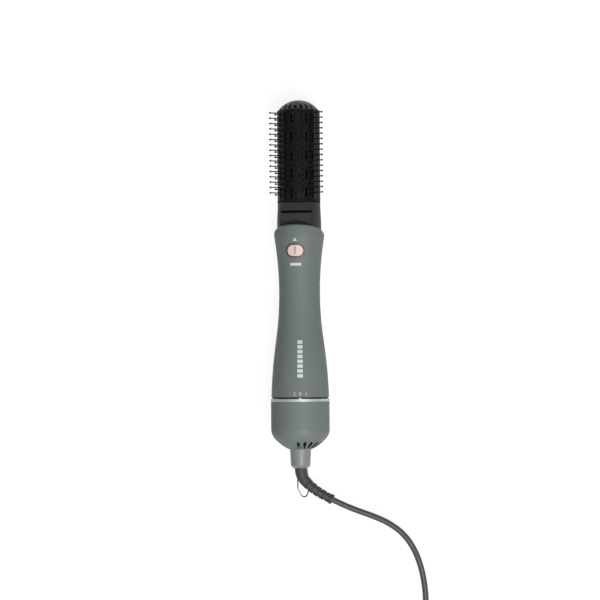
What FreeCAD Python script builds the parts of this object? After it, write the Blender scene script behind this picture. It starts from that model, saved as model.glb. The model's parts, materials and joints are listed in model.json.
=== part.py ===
"""Hot air brush: a parametric FreeCAD document, one object for each sub-part.

Most sub-parts are drawn in the tool's own frame: +Z runs along the tool from the cord end to the tip, the
button faces -Y and +X is to the right of the button. lay_down then puts the tool on the table, resting on the
silver ring and the back of the brush head: +Y runs to the tip and the button faces +Z. The cord, its coil and
the plug are drawn on the table. Millimetres and degrees.
"""
import math
import operator
import os

import FreeCAD
import Part
import Sketcher

DIMENSIONS = {
    # swivel collar and its core
    "collar_radius": 9.6, "collar_end_radius": 8.7, "collar_length": 17.0, "collar_round": 2.0,
    "core_radius": 6.4, "flange_radius": 8.8, "flange_height": 2.0, "post_radius": 4.4, "post_length": 9.0,
    "slip_ring_height": 2.0, "slip_ring_wall": 0.9, "lug_width": 5.6, "lug_depth": 3.4, "lug_height": 5.4,
    # hanging loop
    "wire_radius": 0.65, "loop_length": 28.4, "loop_half_width": 5.4, "loop_neck": 4.1, "loop_back": 7.8,
    "loop_toe": 8.4, "loop_toe_half": 2.0, "loop_droop": 20.0,
    # turning cap with its silver ring
    "cap_radius": 26.4, "cap_wall": 2.2, "dome_arc": 40.0, "knee_radius": 23.0, "knee_rise": 9.3, "dome_flat": 0.6,
    "cap_length": 42.9,
    "slot_width": 2.8, "slot_inner": 11.6, "slot_outer": 20.6, "slot_span": 90.0, "slot_start": -86.0,
    "ring_height": 2.3, "ring_proud": 0.1, "pointer_height": 1.4, "pointer_width": 2.4, "pointer_depth": 0.7,
    "ring_gap": 1.7, "shade_drop": 0.6,
    "view_turn": 10.0, "filter_thickness": 0.6, "cam_rise": 22.0, "cam_height": 2.5, "cam_width": 2.4,
    # handle
    "handle_base_radius": 26.0, "handle_wall": 2.0, "swell_radius": 21.5, "swell_rise": 51.0,
    "waist_radius": 18.4, "waist_rise": 94.0, "flare_rise": 142.0, "rim_rise": 146.3, "shell_turn": 179.6,
    "flare_length": 5.0, "flare_blend": 31.0, "rim_turn": 14.0, "rim_height": 3.5, "rim_edge": 2.3,
    "frame_wall": 1.6, "frame_seat": 6.0,
    # button, bezel and latch
    "button_rise": 131.0, "button_width": 14.0, "button_height": 9.8, "button_proud": 1.0,
    "bezel_width": 17.8, "bezel_height": 13.4, "bezel_lip": 0.6, "bezel_proud": 0.4, "bezel_depth": 1.6, "ridge_width": 1.8,
    "ridge_length": 7.6, "ridge_proud": 0.5, "button_thickness": 1.45,
    "stem_drop": 3.8, "stem_radius": 0.6, "pin_radius": 0.7, "pin_length": 9.6,
    "lever_width": 5.6, "lever_thickness": 0.8, "lever_reach": 8.0, "boss_radius": 1.3, "tooth_height": 2.0,
    "bracket_wall": 1.8, "bracket_height": 8.0,
    # brush head
    "neck_radius": 19.9, "neck_top_radius": 19.1, "neck_drop": 7.0, "neck_length": 31.6, "duct_radius": 11.2,
    "spigot_radius": 14.6, "spigot_wall": 1.4, "spigot_length": 25.0, "flat_depth": 12.9, "flat_length": 30.0,
    "vent_width": 28.6, "vent_down": 7.3, "vent_height": 2.3, "vent_depth": 3.0, "panel_thickness": 0.4, "panel_height": 15.6,
    "panel_width": 25.0, "barrel_radius": 19.3, "barrel_wall": 1.6, "barrel_length": 83.3, "barrel_turn": 359.4,
    "front_plate_angle": 152.0, "dome_radius": 22.5, "dome_rise": 9.7, "row_count": 7, "row_span": 120.0,
    "bristles_in_row": 16, "bristle_start": 6.4, "bristle_pitch": 4.8, "bristle_length": 8.8, "bristle_root": 0.6,
    "bristle_neck": 0.44, "bristle_ball": 0.9, "strip_width": 3.0, "strip_depth": 2.2, "land_slot_width": 1.6,
    "land_slot_length": 9.0, "land_slot_count": 5, "rod_radius": 2.2,
    # motor, fan and heater
    "motor_radius": 14.0, "motor_length": 36.0, "motor_wall": 1.2, "motor_rise": 22.0, "shaft_radius": 1.6,
    "armature_radius": 11.0, "armature_length": 26.0, "hub_radius": 4.5, "blade_count": 9, "blade_thickness": 1.2,
    "fan_radius": 17.6, "fan_height": 11.0, "housing_wall": 1.5, "housing_length": 28.0,
    "sleeve_radius": 15.8, "sleeve_wall": 0.6, "sleeve_length": 48.0, "board_width": 20.0,
    "board_length": 44.0, "board_thickness": 0.8, "coil_radius": 13.0, "coil_wave": 0.7, "coil_turns": 8,
    "cutout_radius": 3.0, "cutout_length": 5.0, "switch_width": 12.0, "switch_depth": 6.0,
    "switch_height": 7.0, "circuit_width": 14.0, "circuit_length": 22.0, "circuit_thickness": 1.6,
    # cord and plug
    "cord_radius": 2.7, "relief_radius": 5.3, "relief_end_radius": 3.9, "relief_rib": 3.0, "relief_ribs": 11,
    "coil_mean": 30.0, "bundle": 16.4, "tie_wall": 0.8, "tie_width": 11.0, "plug_width": 35.3,
    "plug_height": 26.1, "plug_length": 26.0, "grip_width": 24.0, "grip_height": 17.0, "grip_length": 16.0,
    "plug_neck_radius": 4.2, "plug_neck_length": 12.0, "pin_round": 2.4, "pin_reach": 19.0,
    "pin_spacing": 19.0,
    # clearances
    "gap": 0.4, "slide_gap": 0.3, "catch_gap": 0.25,
}


# ---- values that keep the sheet expression they come from ----

class Size:
    """A number together with the sheet expression behind it, so that arithmetic keeps both."""

    def __init__(self, number, text):
        self.number = float(number)
        self.text = text

    def join(self, other, sign, work, swapped=False):
        other = size(other)
        first, second = (other, self) if swapped else (self, other)
        return Size(work(first.number, second.number), f"({first.text} {sign} {second.text})")

    def __add__(self, other):
        return self.join(other, "+", operator.add)

    def __radd__(self, other):
        return self.join(other, "+", operator.add, swapped=True)

    def __sub__(self, other):
        return self.join(other, "-", operator.sub)

    def __rsub__(self, other):
        return self.join(other, "-", operator.sub, swapped=True)

    def __mul__(self, other):
        return self.join(other, "*", operator.mul)

    def __rmul__(self, other):
        return self.join(other, "*", operator.mul, swapped=True)

    def __truediv__(self, other):
        return self.join(other, "/", operator.truediv)

    def __neg__(self):
        return 0 - self


def size(value):
    """A Size as it is, or a bare number as a Size."""
    if isinstance(value, Size):
        return value
    return Size(value, repr(value))


def root(value):
    return Size(math.sqrt(value.number), f"sqrt({value.text})")


doc = FreeCAD.newDocument("HotAirBrush")
sheet = doc.addObject("Spreadsheet::Sheet", "Sizes")
for row, (alias, number) in enumerate(DIMENSIONS.items(), start=1):
    sheet.set(f"A{row}", alias.replace("_", " "))
    sheet.set(f"B{row}", str(number))
    sheet.setAlias(f"B{row}", alias)
doc.recompute()


class Sheet:
    """Reads a sheet cell by its alias as a Size."""

    def __getattr__(self, alias):
        return Size(sheet.get(alias), f"Sizes.{alias}")


s = Sheet()
nodes = []


# ---- places along the tool, measured from the cord end of the collar ----

dome_z = s.collar_length
cap_bore = s.collar_radius + s.gap
cam_z = dome_z + s.cam_rise
ring_z = dome_z + s.cap_length
ring_end_z = ring_z + s.ring_height
base_z = ring_end_z + s.ring_gap
swell_z = base_z + s.swell_rise
waist_z = base_z + s.waist_rise
flare_z = base_z + s.flare_rise
rim_z = base_z + s.rim_rise
button_z = base_z + s.button_rise
neck_z = rim_z - s.neck_drop + s.gap + s.rim_height
barrel_z = neck_z + s.neck_length
dome_tip_z = barrel_z + s.barrel_length
spigot_z = neck_z - s.spigot_length

# the cap's dome is a shallow arc from the bore to a knee, and a tighter arc from there into the straight wall
dome_start = cap_bore + s.dome_flat
knee_z = dome_z + s.knee_rise
knee_across = s.knee_radius - dome_start
dome_chord = root(knee_across * knee_across + s.knee_rise * s.knee_rise)
dome_far = root(s.dome_arc * s.dome_arc - dome_chord * dome_chord / 4)
dome_centre = (dome_start + s.knee_radius) / 2 - dome_far * s.knee_rise / dome_chord
dome_centre_z = dome_z + s.knee_rise / 2 + dome_far * knee_across / dome_chord
knee_arc = (s.cap_radius - s.knee_radius) / (1.0 - (s.knee_radius - dome_centre) / s.dome_arc)
dome_end_z = knee_z + knee_arc * (dome_centre_z - knee_z) / s.dome_arc

# the handle's waist is one hollow arc, level at the waist, that runs from the swell to the flare
swell = s.swell_radius - s.waist_radius
waist_arc = ((waist_z - swell_z) * (waist_z - swell_z) + swell * swell) / (2 * swell)


def handle_radius(z):
    """Outside radius of the handle on its waist arc at height z."""
    rise = z - waist_z
    return s.waist_radius + waist_arc - root(waist_arc * waist_arc - rise * rise)


# the swell is a round arc that meets the waist arc smoothly at the swell point
base_step = s.handle_base_radius - s.swell_radius
inward = base_step * (swell - waist_arc) + (base_z - swell_z) * (swell_z - waist_z)
swell_arc = (base_step * base_step + s.swell_rise * s.swell_rise) * waist_arc / (2 * inward)

# lying on the table, the tool rests on the front edge of the ring and on the end of the barrel
ring_radius = s.cap_radius + s.ring_proud
rest_turn = math.atan2((ring_radius - s.barrel_radius).number, (dome_tip_z - ring_end_z).number)
rest_angle = math.degrees(rest_turn)
exit_height = ring_radius.number * math.cos(rest_turn) + ring_end_z.number * math.sin(rest_turn)
exit_back = ring_end_z.number * math.cos(rest_turn) - ring_radius.number * math.sin(rest_turn)
lay_down = FreeCAD.Placement(
    FreeCAD.Vector(0, -exit_back, exit_height),
    FreeCAD.Rotation(FreeCAD.Vector(1, 0, 0), -90 - rest_angle),
)


def turned(angle):
    """The resting placement after a turn about the tool's axis; 0 keeps local +X to the right."""
    spin = FreeCAD.Placement(FreeCAD.Vector(), FreeCAD.Rotation(FreeCAD.Vector(0, 0, 1), angle))
    return lay_down.multiply(spin)


# local +X of a piece drawn outward is turned to the front or to the back of the tool
FRONT = -90
BACK = 90


# ---- helpers for objects of the document ----

def bind(feature, **values):
    """Ties properties of a feature to sizes of the sheet; a double underscore stands for a dot."""
    for name, value in values.items():
        feature.setExpression(name.replace("__", "."), size(value).text)


def keep(feature, label, placement=lay_down):
    """Names a finished sub-part and lays it in its place."""
    feature.Label = label
    feature.Placement = placement
    nodes.append(feature)
    return feature


def new_body(name):
    return doc.addObject("PartDesign::Body", name)


def origin_feature(body, role):
    return next(item for item in body.Origin.OriginFeatures if item.Role == role)


def attach(body, name, plane, offset=None, turn=None):
    """An empty sketch on one of the body's own origin planes, lifted by offset and turned by turn."""
    sketch = body.newObject("Sketcher::SketchObject", name)
    sketch.AttachmentSupport = [(origin_feature(body, plane), "")]
    sketch.MapMode = "FlatFace"
    if turn is not None:
        sketch.AttachmentOffset = FreeCAD.Placement(FreeCAD.Vector(), turn)
    if offset is not None:
        bind(sketch, AttachmentOffset__Base__z=offset)
    return sketch


def arc_between(start, end, radius):
    """The short arc from start to end; a positive radius bulges to the right of the way from start to end."""
    chord = end - start
    half = chord.Length / 2
    reach = math.sqrt(max(radius * radius - half * half, 0.0))
    side = FreeCAD.Vector(-chord.y, chord.x, 0).normalize()
    sign = 1 if radius > 0 else -1
    centre = (start + end) * 0.5 + side * (reach * sign)
    middle = centre - side * (abs(radius) * sign)
    return Part.Arc(start, middle, end), sign


def outline(sketch, points):
    """Adds one closed outline; a point is (x, y), or (x, y, radius) where an arc leads to it."""
    points = [tuple(size(value) for value in point) for point in points]
    places = [FreeCAD.Vector(point[0].number, point[1].number, 0) for point in points]
    first = len(sketch.Geometry)
    forward = []
    for index, point in enumerate(points):
        start = places[index - 1]
        if len(point) == 3:
            curve, sign = arc_between(start, places[index], point[2].number)
        else:
            curve, sign = Part.LineSegment(start, places[index]), 1
        sketch.addGeometry(curve, False)
        forward.append(sign > 0)
    for index, point in enumerate(points):
        geometry = first + index
        after = first + (index + 1) % len(points)
        end_vertex = 2 if forward[index] else 1
        next_vertex = 1 if forward[after - first] else 2
        sketch.addConstraint(Sketcher.Constraint("Coincident", geometry, end_vertex, after, next_vertex))
        for kind, value in (("DistanceX", point[0]), ("DistanceY", point[1])):
            constraint = Sketcher.Constraint(kind, -1, 1, geometry, end_vertex, value.number)
            number = sketch.addConstraint(constraint)
            if "Sizes" in value.text:
                sketch.setExpression(f"Constraints[{number}]", value.text)
        if len(point) == 3:
            shape_arc(sketch, geometry, places[index - 1], places[index], point)
    return sketch


def shape_arc(sketch, geometry, start, end, point):
    """Gives an arc its radius; a half circle takes the place of its centre instead."""
    radius = point[2]
    if (end - start).Length > 1.9999 * abs(radius.number):
        upright = abs(end.x - start.x) < 1e-6
        kind, value = ("DistanceX", point[0]) if upright else ("DistanceY", point[1])
        number = sketch.addConstraint(Sketcher.Constraint(kind, -1, 1, geometry, 3, value.number))
        sketch.setExpression(f"Constraints[{number}]", value.text)
        return
    number = sketch.addConstraint(Sketcher.Constraint("Radius", geometry, abs(radius.number)))
    sketch.setExpression(f"Constraints[{number}]", radius.text if radius.number > 0 else (0 - radius).text)


def circle(sketch, radius, x=0.0, y=0.0):
    """Adds one circle whose centre and radius are tied to sizes."""
    radius, x, y = size(radius), size(x), size(y)
    centre = FreeCAD.Vector(x.number, y.number, 0)
    number = sketch.addGeometry(Part.Circle(centre, FreeCAD.Vector(0, 0, 1), radius.number), False)
    for constraint, value in (
        (Sketcher.Constraint("DistanceX", -1, 1, number, 3, x.number), x),
        (Sketcher.Constraint("DistanceY", -1, 1, number, 3, y.number), y),
        (Sketcher.Constraint("Radius", number, radius.number), radius),
    ):
        index = sketch.addConstraint(constraint)
        if "Sizes" in value.text:
            sketch.setExpression(f"Constraints[{index}]", value.text)
    return sketch


def rectangle(x0, x1, y0, y1):
    return [(x0, y0), (x1, y0), (x1, y1), (x0, y1)]


def oval(half_width, half_height, y=0.0):
    """A long-hole outline centred on x = 0, with its straight sides along x."""
    straight = half_width - half_height
    return [
        (straight, y - half_height), (straight, y + half_height, half_height),
        (-straight, y + half_height), (-straight, y - half_height, half_height),
    ]


def revolve(body, points, angle=360.0):
    """A Revolution about Z of an outline given as (radius, height); a part turn is centred on local +X."""
    sketch = outline(attach(body, body.Name + "_profile", "XZ_Plane"), points)
    feature = body.newObject("PartDesign::Revolution", body.Name + "_turned")
    feature.Profile = sketch
    feature.ReferenceAxis = (sketch, ["V_Axis"])
    feature.Midplane = True
    bind(feature, Angle=angle)
    sketch.Visibility = False
    return feature


def extrude(body, sketch, length, kind="Pad", both_ways=False, reverse=False, angle=0.0):
    """A Pad or a Pocket of a sketch."""
    feature = body.newObject("PartDesign::" + kind, sketch.Name + "_" + kind.lower())
    feature.Profile = sketch
    feature.Reversed = reverse
    if both_ways:
        feature.SideType = "Symmetric"
    bind(feature, Length=length)
    if angle:
        feature.TaperAngle = angle
    sketch.Visibility = False
    return feature


def polar(body, feature, count, span):
    """Repeats a feature about the body's Z axis over a span, or all the way round."""
    pattern = body.newObject("PartDesign::PolarPattern", feature.Name + "_polar")
    pattern.Originals = [feature]
    pattern.Axis = (origin_feature(body, "Z_Axis"), [""])
    bind(pattern, Angle=span, Occurrences=count)
    body.Tip = pattern
    return pattern


def must_cut(body, feature, before):
    """A Pocket that points away from the solid cuts nothing, so its volume is compared."""
    doc.recompute()
    if feature.Shape.isNull() or feature.Shape.Volume > before - 1e-3:
        raise ValueError(f"{feature.Name} cuts nothing from {body.Name}")
    return feature.Shape.Volume


def volume_of(feature):
    doc.recompute()
    return feature.Shape.Volume


def block(name, x0, x1, y0, y1, z0, z1):
    """A block between six sizes: a Pad of a rectangle."""
    body = new_body(name)
    sketch = outline(attach(body, name + "_sketch", "XY_Plane", z0), rectangle(x0, x1, y0, y1))
    extrude(body, sketch, size(z1) - z0)
    return body


def rod(name, radius, z0, z1, x=0.0, y=0.0):
    """A round rod along Z: a Pad of a circle."""
    body = new_body(name)
    sketch = circle(attach(body, name + "_sketch", "XY_Plane", z0), radius, x, y)
    extrude(body, sketch, size(z1) - z0)
    return body


def cross_rod(name, radius, length, y, z):
    """A round rod along X, centred on x = 0."""
    body = new_body(name)
    sketch = circle(attach(body, name + "_sketch", "YZ_Plane"), radius, y, z)
    extrude(body, sketch, length, both_ways=True)
    return body


def boolean(kind, name, base, tool):
    """A Part::Cut, Part::Fuse or Part::Common of two objects."""
    feature = doc.addObject("Part::" + kind, name)
    feature.Base = base
    feature.Tool = tool
    return feature


def tube_points(outer, inner, z0, z1):
    return [(inner, z0), (outer, z0), (outer, z1), (inner, z1)]


# ---- cord side: what stays still while the handle swivels ----

flange_z = dome_z + s.cap_wall + 6.0
core_top_z = flange_z + s.flange_height


def make_collar():
    """Moulded swivel collar with its core, flange and slip-ring post, and the lug of the hanging loop."""
    body = new_body("collar")
    bore = s.cord_radius + s.gap
    revolve(body, [
        (bore, 0), (s.collar_end_radius - s.collar_round, 0), (s.collar_end_radius, s.collar_round),
        (s.collar_radius, dome_z), (s.collar_radius, dome_z + s.cap_wall + 1.0),
        (s.core_radius, dome_z + s.cap_wall + 1.0), (s.core_radius, flange_z), (s.flange_radius, flange_z),
        (s.flange_radius, core_top_z), (s.post_radius, core_top_z),
        (s.post_radius, core_top_z + s.post_length), (bore, core_top_z + s.post_length),
    ])
    lug = outline(attach(body, "lug", "YZ_Plane"), rectangle(
        s.loop_back - s.lug_depth / 2, s.loop_back + s.lug_depth / 2, -s.lug_height / 2, s.lug_height / 2))
    before = volume_of(extrude(body, lug, s.lug_width, both_ways=True))
    hole = circle(attach(body, "lug_hole", "YZ_Plane"), s.wire_radius + s.catch_gap, s.loop_back, 0)
    must_cut(body, extrude(body, hole, s.lug_width * 3, "Pocket", both_ways=True), before)
    keep(body, "swivel_collar")


def make_slip_rings():
    """Three brass rings on the post, fused in one moulded stack."""
    z0 = core_top_z + 0.6
    outer = s.post_radius + s.slip_ring_wall
    stack = new_body("slips")
    groove = outer - 0.4
    step = s.slip_ring_height
    revolve(stack, [
        (s.post_radius, z0), (outer, z0), (outer, z0 + step), (groove, z0 + step), (groove, z0 + 1.3 * step),
        (outer, z0 + 1.3 * step), (outer, z0 + 2.3 * step), (groove, z0 + 2.3 * step),
        (groove, z0 + 2.6 * step), (outer, z0 + 2.6 * step), (outer, z0 + 3.6 * step),
        (s.post_radius, z0 + 3.6 * step),
    ])
    keep(stack, "slip_rings")


# The cord's route by hand, from the end of the collar: right of the axis, back from the collar, and how far it
# has come down, as a share of the drop from the collar to the table.
RELIEF_ROUTE = [
    (0.0, 0.0, 0.0), (0.0, -6.0, -0.0064), (5.4, -13.8, 0.012), (17.0, -23.3, 0.09), (28.2, -28.9, 0.18)]
LEAD_ROUTE = [
    (28.2, -28.9, 0.18), (39.4, -34.5, 0.27), (50.8, -39.4, 0.4), (62.6, -43.8, 0.54), (77.0, -50.6, 0.72),
    (90.0, -60.8, 0.87), (99.2, -74.6, 0.96), (105.0, -90.6, 0.995), (108.2, -107.4, 1.0),
    (109.1, -124.0, 1.0), (109.2, -140.0, 1.0), (108.9, -155.0, 1.0)]
COIL_CENTRE = (73.6, -164.0)

# from the coil to the plug; here the drop is a share of the step from the plug's axis to the second layer
TAIL_ROUTE = [
    (70.0, -199.6, 1.0), (57.0, -200.6, 1.0), (44.0, -203.8, 0.83), (30.5, -208.2, 0.4), (18.0, -211.8, 0.0),
    (6.0, -214.8, 0.0)]


def on_table(route, low, high):
    """Turns route points into places on the table, from a high level down to a low one."""
    return [FreeCAD.Vector(x, back - exit_back, high + (low - high) * drop) for x, back, drop in route]


def route_wire(points):
    """Straight runs joined by tangent arcs, each as large as its two runs allow, and the arcs' radii."""
    edges = []
    radii = []
    start = points[0]
    for before, corner, after in zip(points, points[1:], points[2:]):
        inward_way = before - corner
        outward_way = after - corner
        back = 0.45 * min(inward_way.Length, outward_way.Length)
        half_turn = (math.pi - inward_way.getAngle(outward_way)) / 2
        radius = back / math.tan(half_turn)
        inward_way.normalize()
        outward_way.normalize()
        bisector = (inward_way + outward_way).normalize()
        centre = corner + bisector * (radius / math.cos(half_turn))
        first = corner + inward_way * back
        last = corner + outward_way * back
        edges.append(Part.LineSegment(start, first).toShape())
        edges.append(Part.Arc(first, centre - bisector * radius, last).toShape())
        radii.append(radius)
        start = last
    edges.append(Part.LineSegment(start, points[-1]).toShape())
    return Part.Wire(edges), radii


def tube_along(wire, start, way, radius):
    """A round tube along a wire, compared with its section times its length."""
    profile = Part.Wire([Part.makeCircle(radius, start, way)])
    tube = wire.makePipeShell([profile], True, False)
    expected = math.pi * radius ** 2 * wire.Length
    if abs(tube.Volume - expected) > 0.02 * expected:
        raise ValueError("a tube's volume does not match its length")
    return tube


def plain(label, shape):
    """A sub-part whose shape comes straight from Part functions, already in its place."""
    feature = doc.addObject("Part::Feature", label)
    feature.Shape = shape
    return keep(feature, label, FreeCAD.Placement())


def lead_points(route):
    """Places on the table for the strain relief and the lead: from the collar's height to the bottom layer."""
    return on_table(route, s.cord_radius.number + s.tie_wall.number, exit_height)


def tail_points():
    """Places on the table for the tail: from the coil's second layer to the plug's axis."""
    return on_table(TAIL_ROUTE, 3 * s.cord_radius.number + s.tie_wall.number, s.plug_height.number / 2)


def make_cord():
    """The free cord: a tube to the coil, the coil's outer shape, and a tube on to the plug."""
    for label, points in (("cord_lead", lead_points(LEAD_ROUTE)), ("cord_tail", tail_points())):
        wire, radii = route_wire(points)
        print(label, "length", round(wire.Length, 1), "arc radii", [round(value) for value in radii])
        plain(label, tube_along(wire, points[0], points[1] - points[0], s.cord_radius.number))
    body = new_body("hank")
    half = s.bundle / 2
    bottom = s.tie_wall
    corner = s.cord_radius
    near, far, top = s.coil_mean - half, s.coil_mean + half, bottom + s.bundle
    revolve(body, [
        (near + corner, bottom, corner), (far - corner, bottom), (far, bottom + corner, corner),
        (far, top - corner), (far - corner, top, corner), (near + corner, top), (near, top - corner, corner),
        (near, bottom + corner),
    ])
    keep(body, "cord_coil", coil_place())
    make_tie()


def coil_place():
    return FreeCAD.Placement(
        FreeCAD.Vector(COIL_CENTRE[0], COIL_CENTRE[1] - exit_back, 0), FreeCAD.Rotation())


def make_tie():
    """A strap round the bundle, on the far side of the coil from the lead."""
    body = new_body("tie")
    half = s.bundle / 2
    strap = attach(body, "strap", "XZ_Plane")
    outline(strap, rectangle(
        -s.coil_mean - half - s.tie_wall, -s.coil_mean + half + s.tie_wall, 0, s.bundle + 2 * s.tie_wall))
    outline(strap, rectangle(-s.coil_mean - half, -s.coil_mean + half, s.tie_wall, s.bundle + s.tie_wall))
    extrude(body, strap, s.tie_width, both_ways=True)
    keep(body, "cord_tie", coil_place())


def make_strain_relief():
    """Rubber boot: a core swept along the cord with ribs that shrink towards its end."""
    points = lead_points(RELIEF_ROUTE)
    wire, radii = route_wire(points)
    print("strain relief length", round(wire.Length, 1), "arc radii", [round(value) for value in radii])
    core = tube_along(wire, points[0], points[1] - points[0], s.relief_end_radius.number - 0.5)
    count = int(s.relief_ribs.number)
    step = (wire.Length - s.relief_rib.number) / (count - 1)
    places = wire.discretize(Number=401)
    for index in range(count):
        near = index * step / wire.Length * 400
        start = places[round(near)]
        way = (places[min(round(near) + 4, 400)] - places[max(round(near) - 4, 0)]).normalize()
        share = index / (count - 1)
        radius = s.relief_radius.number + (s.relief_end_radius.number - s.relief_radius.number) * share
        core = core.fuse(Part.makeCone(radius, radius - 0.35, s.relief_rib.number, start, way))
    plain("strain_relief", core.removeSplitter())


def plug_place():
    """The plug lies at the end of the tail, turned the way the tail's last run points; local +Z is outward."""
    points = tail_points()
    way = points[-1] - points[-2]
    across = FreeCAD.Vector(way.y, -way.x, 0)
    rotation = FreeCAD.Rotation(across, FreeCAD.Vector(0, 0, 1), way, "ZXY")
    return FreeCAD.Placement(points[-1], rotation)


def make_plug():
    """Two-pin moulded plug: a neck on the cord, a finger grip and the body that carries the pins."""
    place = plug_place()
    body = new_body("plug")
    neck = circle(attach(body, "plug_neck", "XY_Plane"), s.plug_neck_radius)
    extrude(body, neck, s.plug_neck_length + 1.0)
    grip_z = s.plug_neck_length
    grip = outline(attach(body, "plug_grip", "XY_Plane", grip_z), oval(s.grip_width / 2, s.grip_height / 2))
    extrude(body, grip, s.grip_length + 1.0)
    face_z = grip_z + s.grip_length
    head = outline(attach(body, "plug_head", "XY_Plane", face_z), oval(s.plug_width / 2, s.plug_height / 2))
    extrude(body, head, s.plug_length)
    keep(body, "plug_body", place)
    for label, side in (("plug_pin_a", -1), ("plug_pin_b", 1)):
        pin = new_body(label + "_body")
        end_z = face_z + s.plug_length
        tip = s.pin_round * 0.4
        revolve(pin, [
            (0, end_z), (s.pin_round, end_z), (s.pin_round, end_z + s.pin_reach - tip),
            (s.pin_round - tip, end_z + s.pin_reach), (0, end_z + s.pin_reach),
        ])
        shift = FreeCAD.Placement(FreeCAD.Vector(side * s.pin_spacing.number / 2, 0, 0), FreeCAD.Rotation())
        keep(pin, label, place.multiply(shift))


def make_loop():
    """Steel wire loop whose two bent ends sit in the lug's hole, hanging a little towards the table."""
    half, neck, length = s.loop_half_width.number, s.loop_neck.number, s.loop_length.number
    stub = s.lug_width.number / 2 - 1.8
    toe, toe_half = s.loop_toe.number, s.loop_toe_half.number
    side = [(neck, 0, 1.3), (half, toe - length, 4.0), (toe_half, -length, 2.7)]
    corners = side + [(-x, z, radius) for x, z, radius in reversed(side)]
    edges = []
    start = FreeCAD.Vector(stub, 0, 0)
    ways = [(stub, 0)] + [corner[:2] for corner in corners] + [(-stub, 0)]
    for index, (x, z, radius) in enumerate(corners):
        corner = FreeCAD.Vector(x, 0, z)
        before = (FreeCAD.Vector(ways[index][0], 0, ways[index][1]) - corner).normalize()
        after = (FreeCAD.Vector(ways[index + 2][0], 0, ways[index + 2][1]) - corner).normalize()
        half_turn = (math.pi - before.getAngle(after)) / 2
        back = radius * math.tan(half_turn)
        bisector = (before + after).normalize()
        middle = corner + bisector * (radius / math.cos(half_turn) - radius)
        edges.append(Part.LineSegment(start, corner + before * back).toShape())
        edges.append(Part.Arc(corner + before * back, middle, corner + after * back).toShape())
        start = corner + after * back
    edges.append(Part.LineSegment(start, FreeCAD.Vector(-stub, 0, 0)).toShape())
    wire = Part.Wire(edges)
    loop = tube_along(wire, FreeCAD.Vector(stub, 0, 0), FreeCAD.Vector(1, 0, 0), s.wire_radius.number)
    feature = doc.addObject("Part::Feature", "loop")
    feature.Shape = loop
    hinge = FreeCAD.Placement(
        FreeCAD.Vector(0, s.loop_back.number, 0), FreeCAD.Rotation(FreeCAD.Vector(1, 0, 0), s.loop_droop.number))
    keep(feature, "hanging_loop", lay_down.multiply(hinge))


# ---- turning cap ----

def dome_height_at(radius, thickness):
    """Height of the dome's shallow arc, moved inward by a thickness, at a radius."""
    across = radius - dome_centre
    arc = s.dome_arc - thickness
    return dome_centre_z - root(arc * arc - across * across)


def make_cap():
    """Domed cap that turns to set heat and air, with two banks of radial air slots."""
    body = new_body("cap")
    inner = s.cap_radius - s.cap_wall
    inner_arc = s.dome_arc - s.cap_wall
    inner_share = inner_arc / s.dome_arc
    inner_knee = dome_centre + (s.knee_radius - dome_centre) * inner_share
    inner_knee_z = dome_centre_z - (dome_centre_z - knee_z) * inner_share
    revolve(body, [
        (cap_bore, dome_z), (dome_start, dome_z), (s.knee_radius, knee_z, s.dome_arc),
        (s.cap_radius, dome_end_z, knee_arc), (s.cap_radius, ring_z), (inner, ring_z), (inner, dome_end_z),
        (inner_knee, inner_knee_z, -(knee_arc - s.cap_wall)),
        (cap_bore, dome_height_at(cap_bore, s.cap_wall), -inner_arc),
    ])
    before = volume_of(body)
    turn = FreeCAD.Rotation(FreeCAD.Vector(0, 0, 1), s.slot_start.number)
    slots = attach(body, "slots", "XY_Plane", turn=turn)
    bind(slots, AttachmentOffset__Rotation__Angle=s.slot_start)
    middle = (s.slot_inner + s.slot_outer) / 2
    reach = (s.slot_outer - s.slot_inner) / 2
    half = s.slot_width / 2
    for side in (-1, 1):
        near, far = (middle - reach + half) * side, (middle + reach - half) * side
        low, high = (near, far) if side > 0 else (far, near)
        outline(slots, [(high, -half), (high, half, half), (low, half), (low, -half, half)])
    pocket = extrude(body, slots, dome_end_z, "Pocket", reverse=True)
    must_cut(body, pocket, before)
    polar(body, pocket, 6, s.slot_span)
    keep(body, "selector_cap")


def make_ring():
    """Silver ring on the cap with the pointer tooth that rises into the gap."""
    body = new_body("ring")
    inner = s.cap_radius - s.cap_wall
    revolve(body, tube_points(ring_radius, inner, ring_z, ring_end_z))
    half = s.pointer_width / 2
    tooth = outline(attach(body, "pointer", "XZ_Plane", s.cap_radius - s.pointer_depth), [
        (-half, ring_z + 0.5), (half, ring_z + 0.5), (half, ring_end_z), (0.2, ring_end_z + s.pointer_height),
        (-0.2, ring_end_z + s.pointer_height), (-half, ring_end_z)])
    extrude(body, tooth, s.pointer_depth)
    keep(body, "selector_ring", turned(s.view_turn.number))


def make_filter():
    """Woven filter behind the slots, a thin dome against the inside of the cap."""
    body = new_body("filter")
    near = s.cap_wall + 0.1
    far = near + s.filter_thickness
    low_radius = cap_bore + 1.0
    high_radius = s.slot_outer + 0.6
    revolve(body, [
        (low_radius, dome_height_at(low_radius, near)),
        (high_radius, dome_height_at(high_radius, near), s.dome_arc - near),
        (high_radius, dome_height_at(high_radius, far)),
        (low_radius, dome_height_at(low_radius, far), -(s.dome_arc - far)),
    ])
    keep(body, "inlet_filter")


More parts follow.
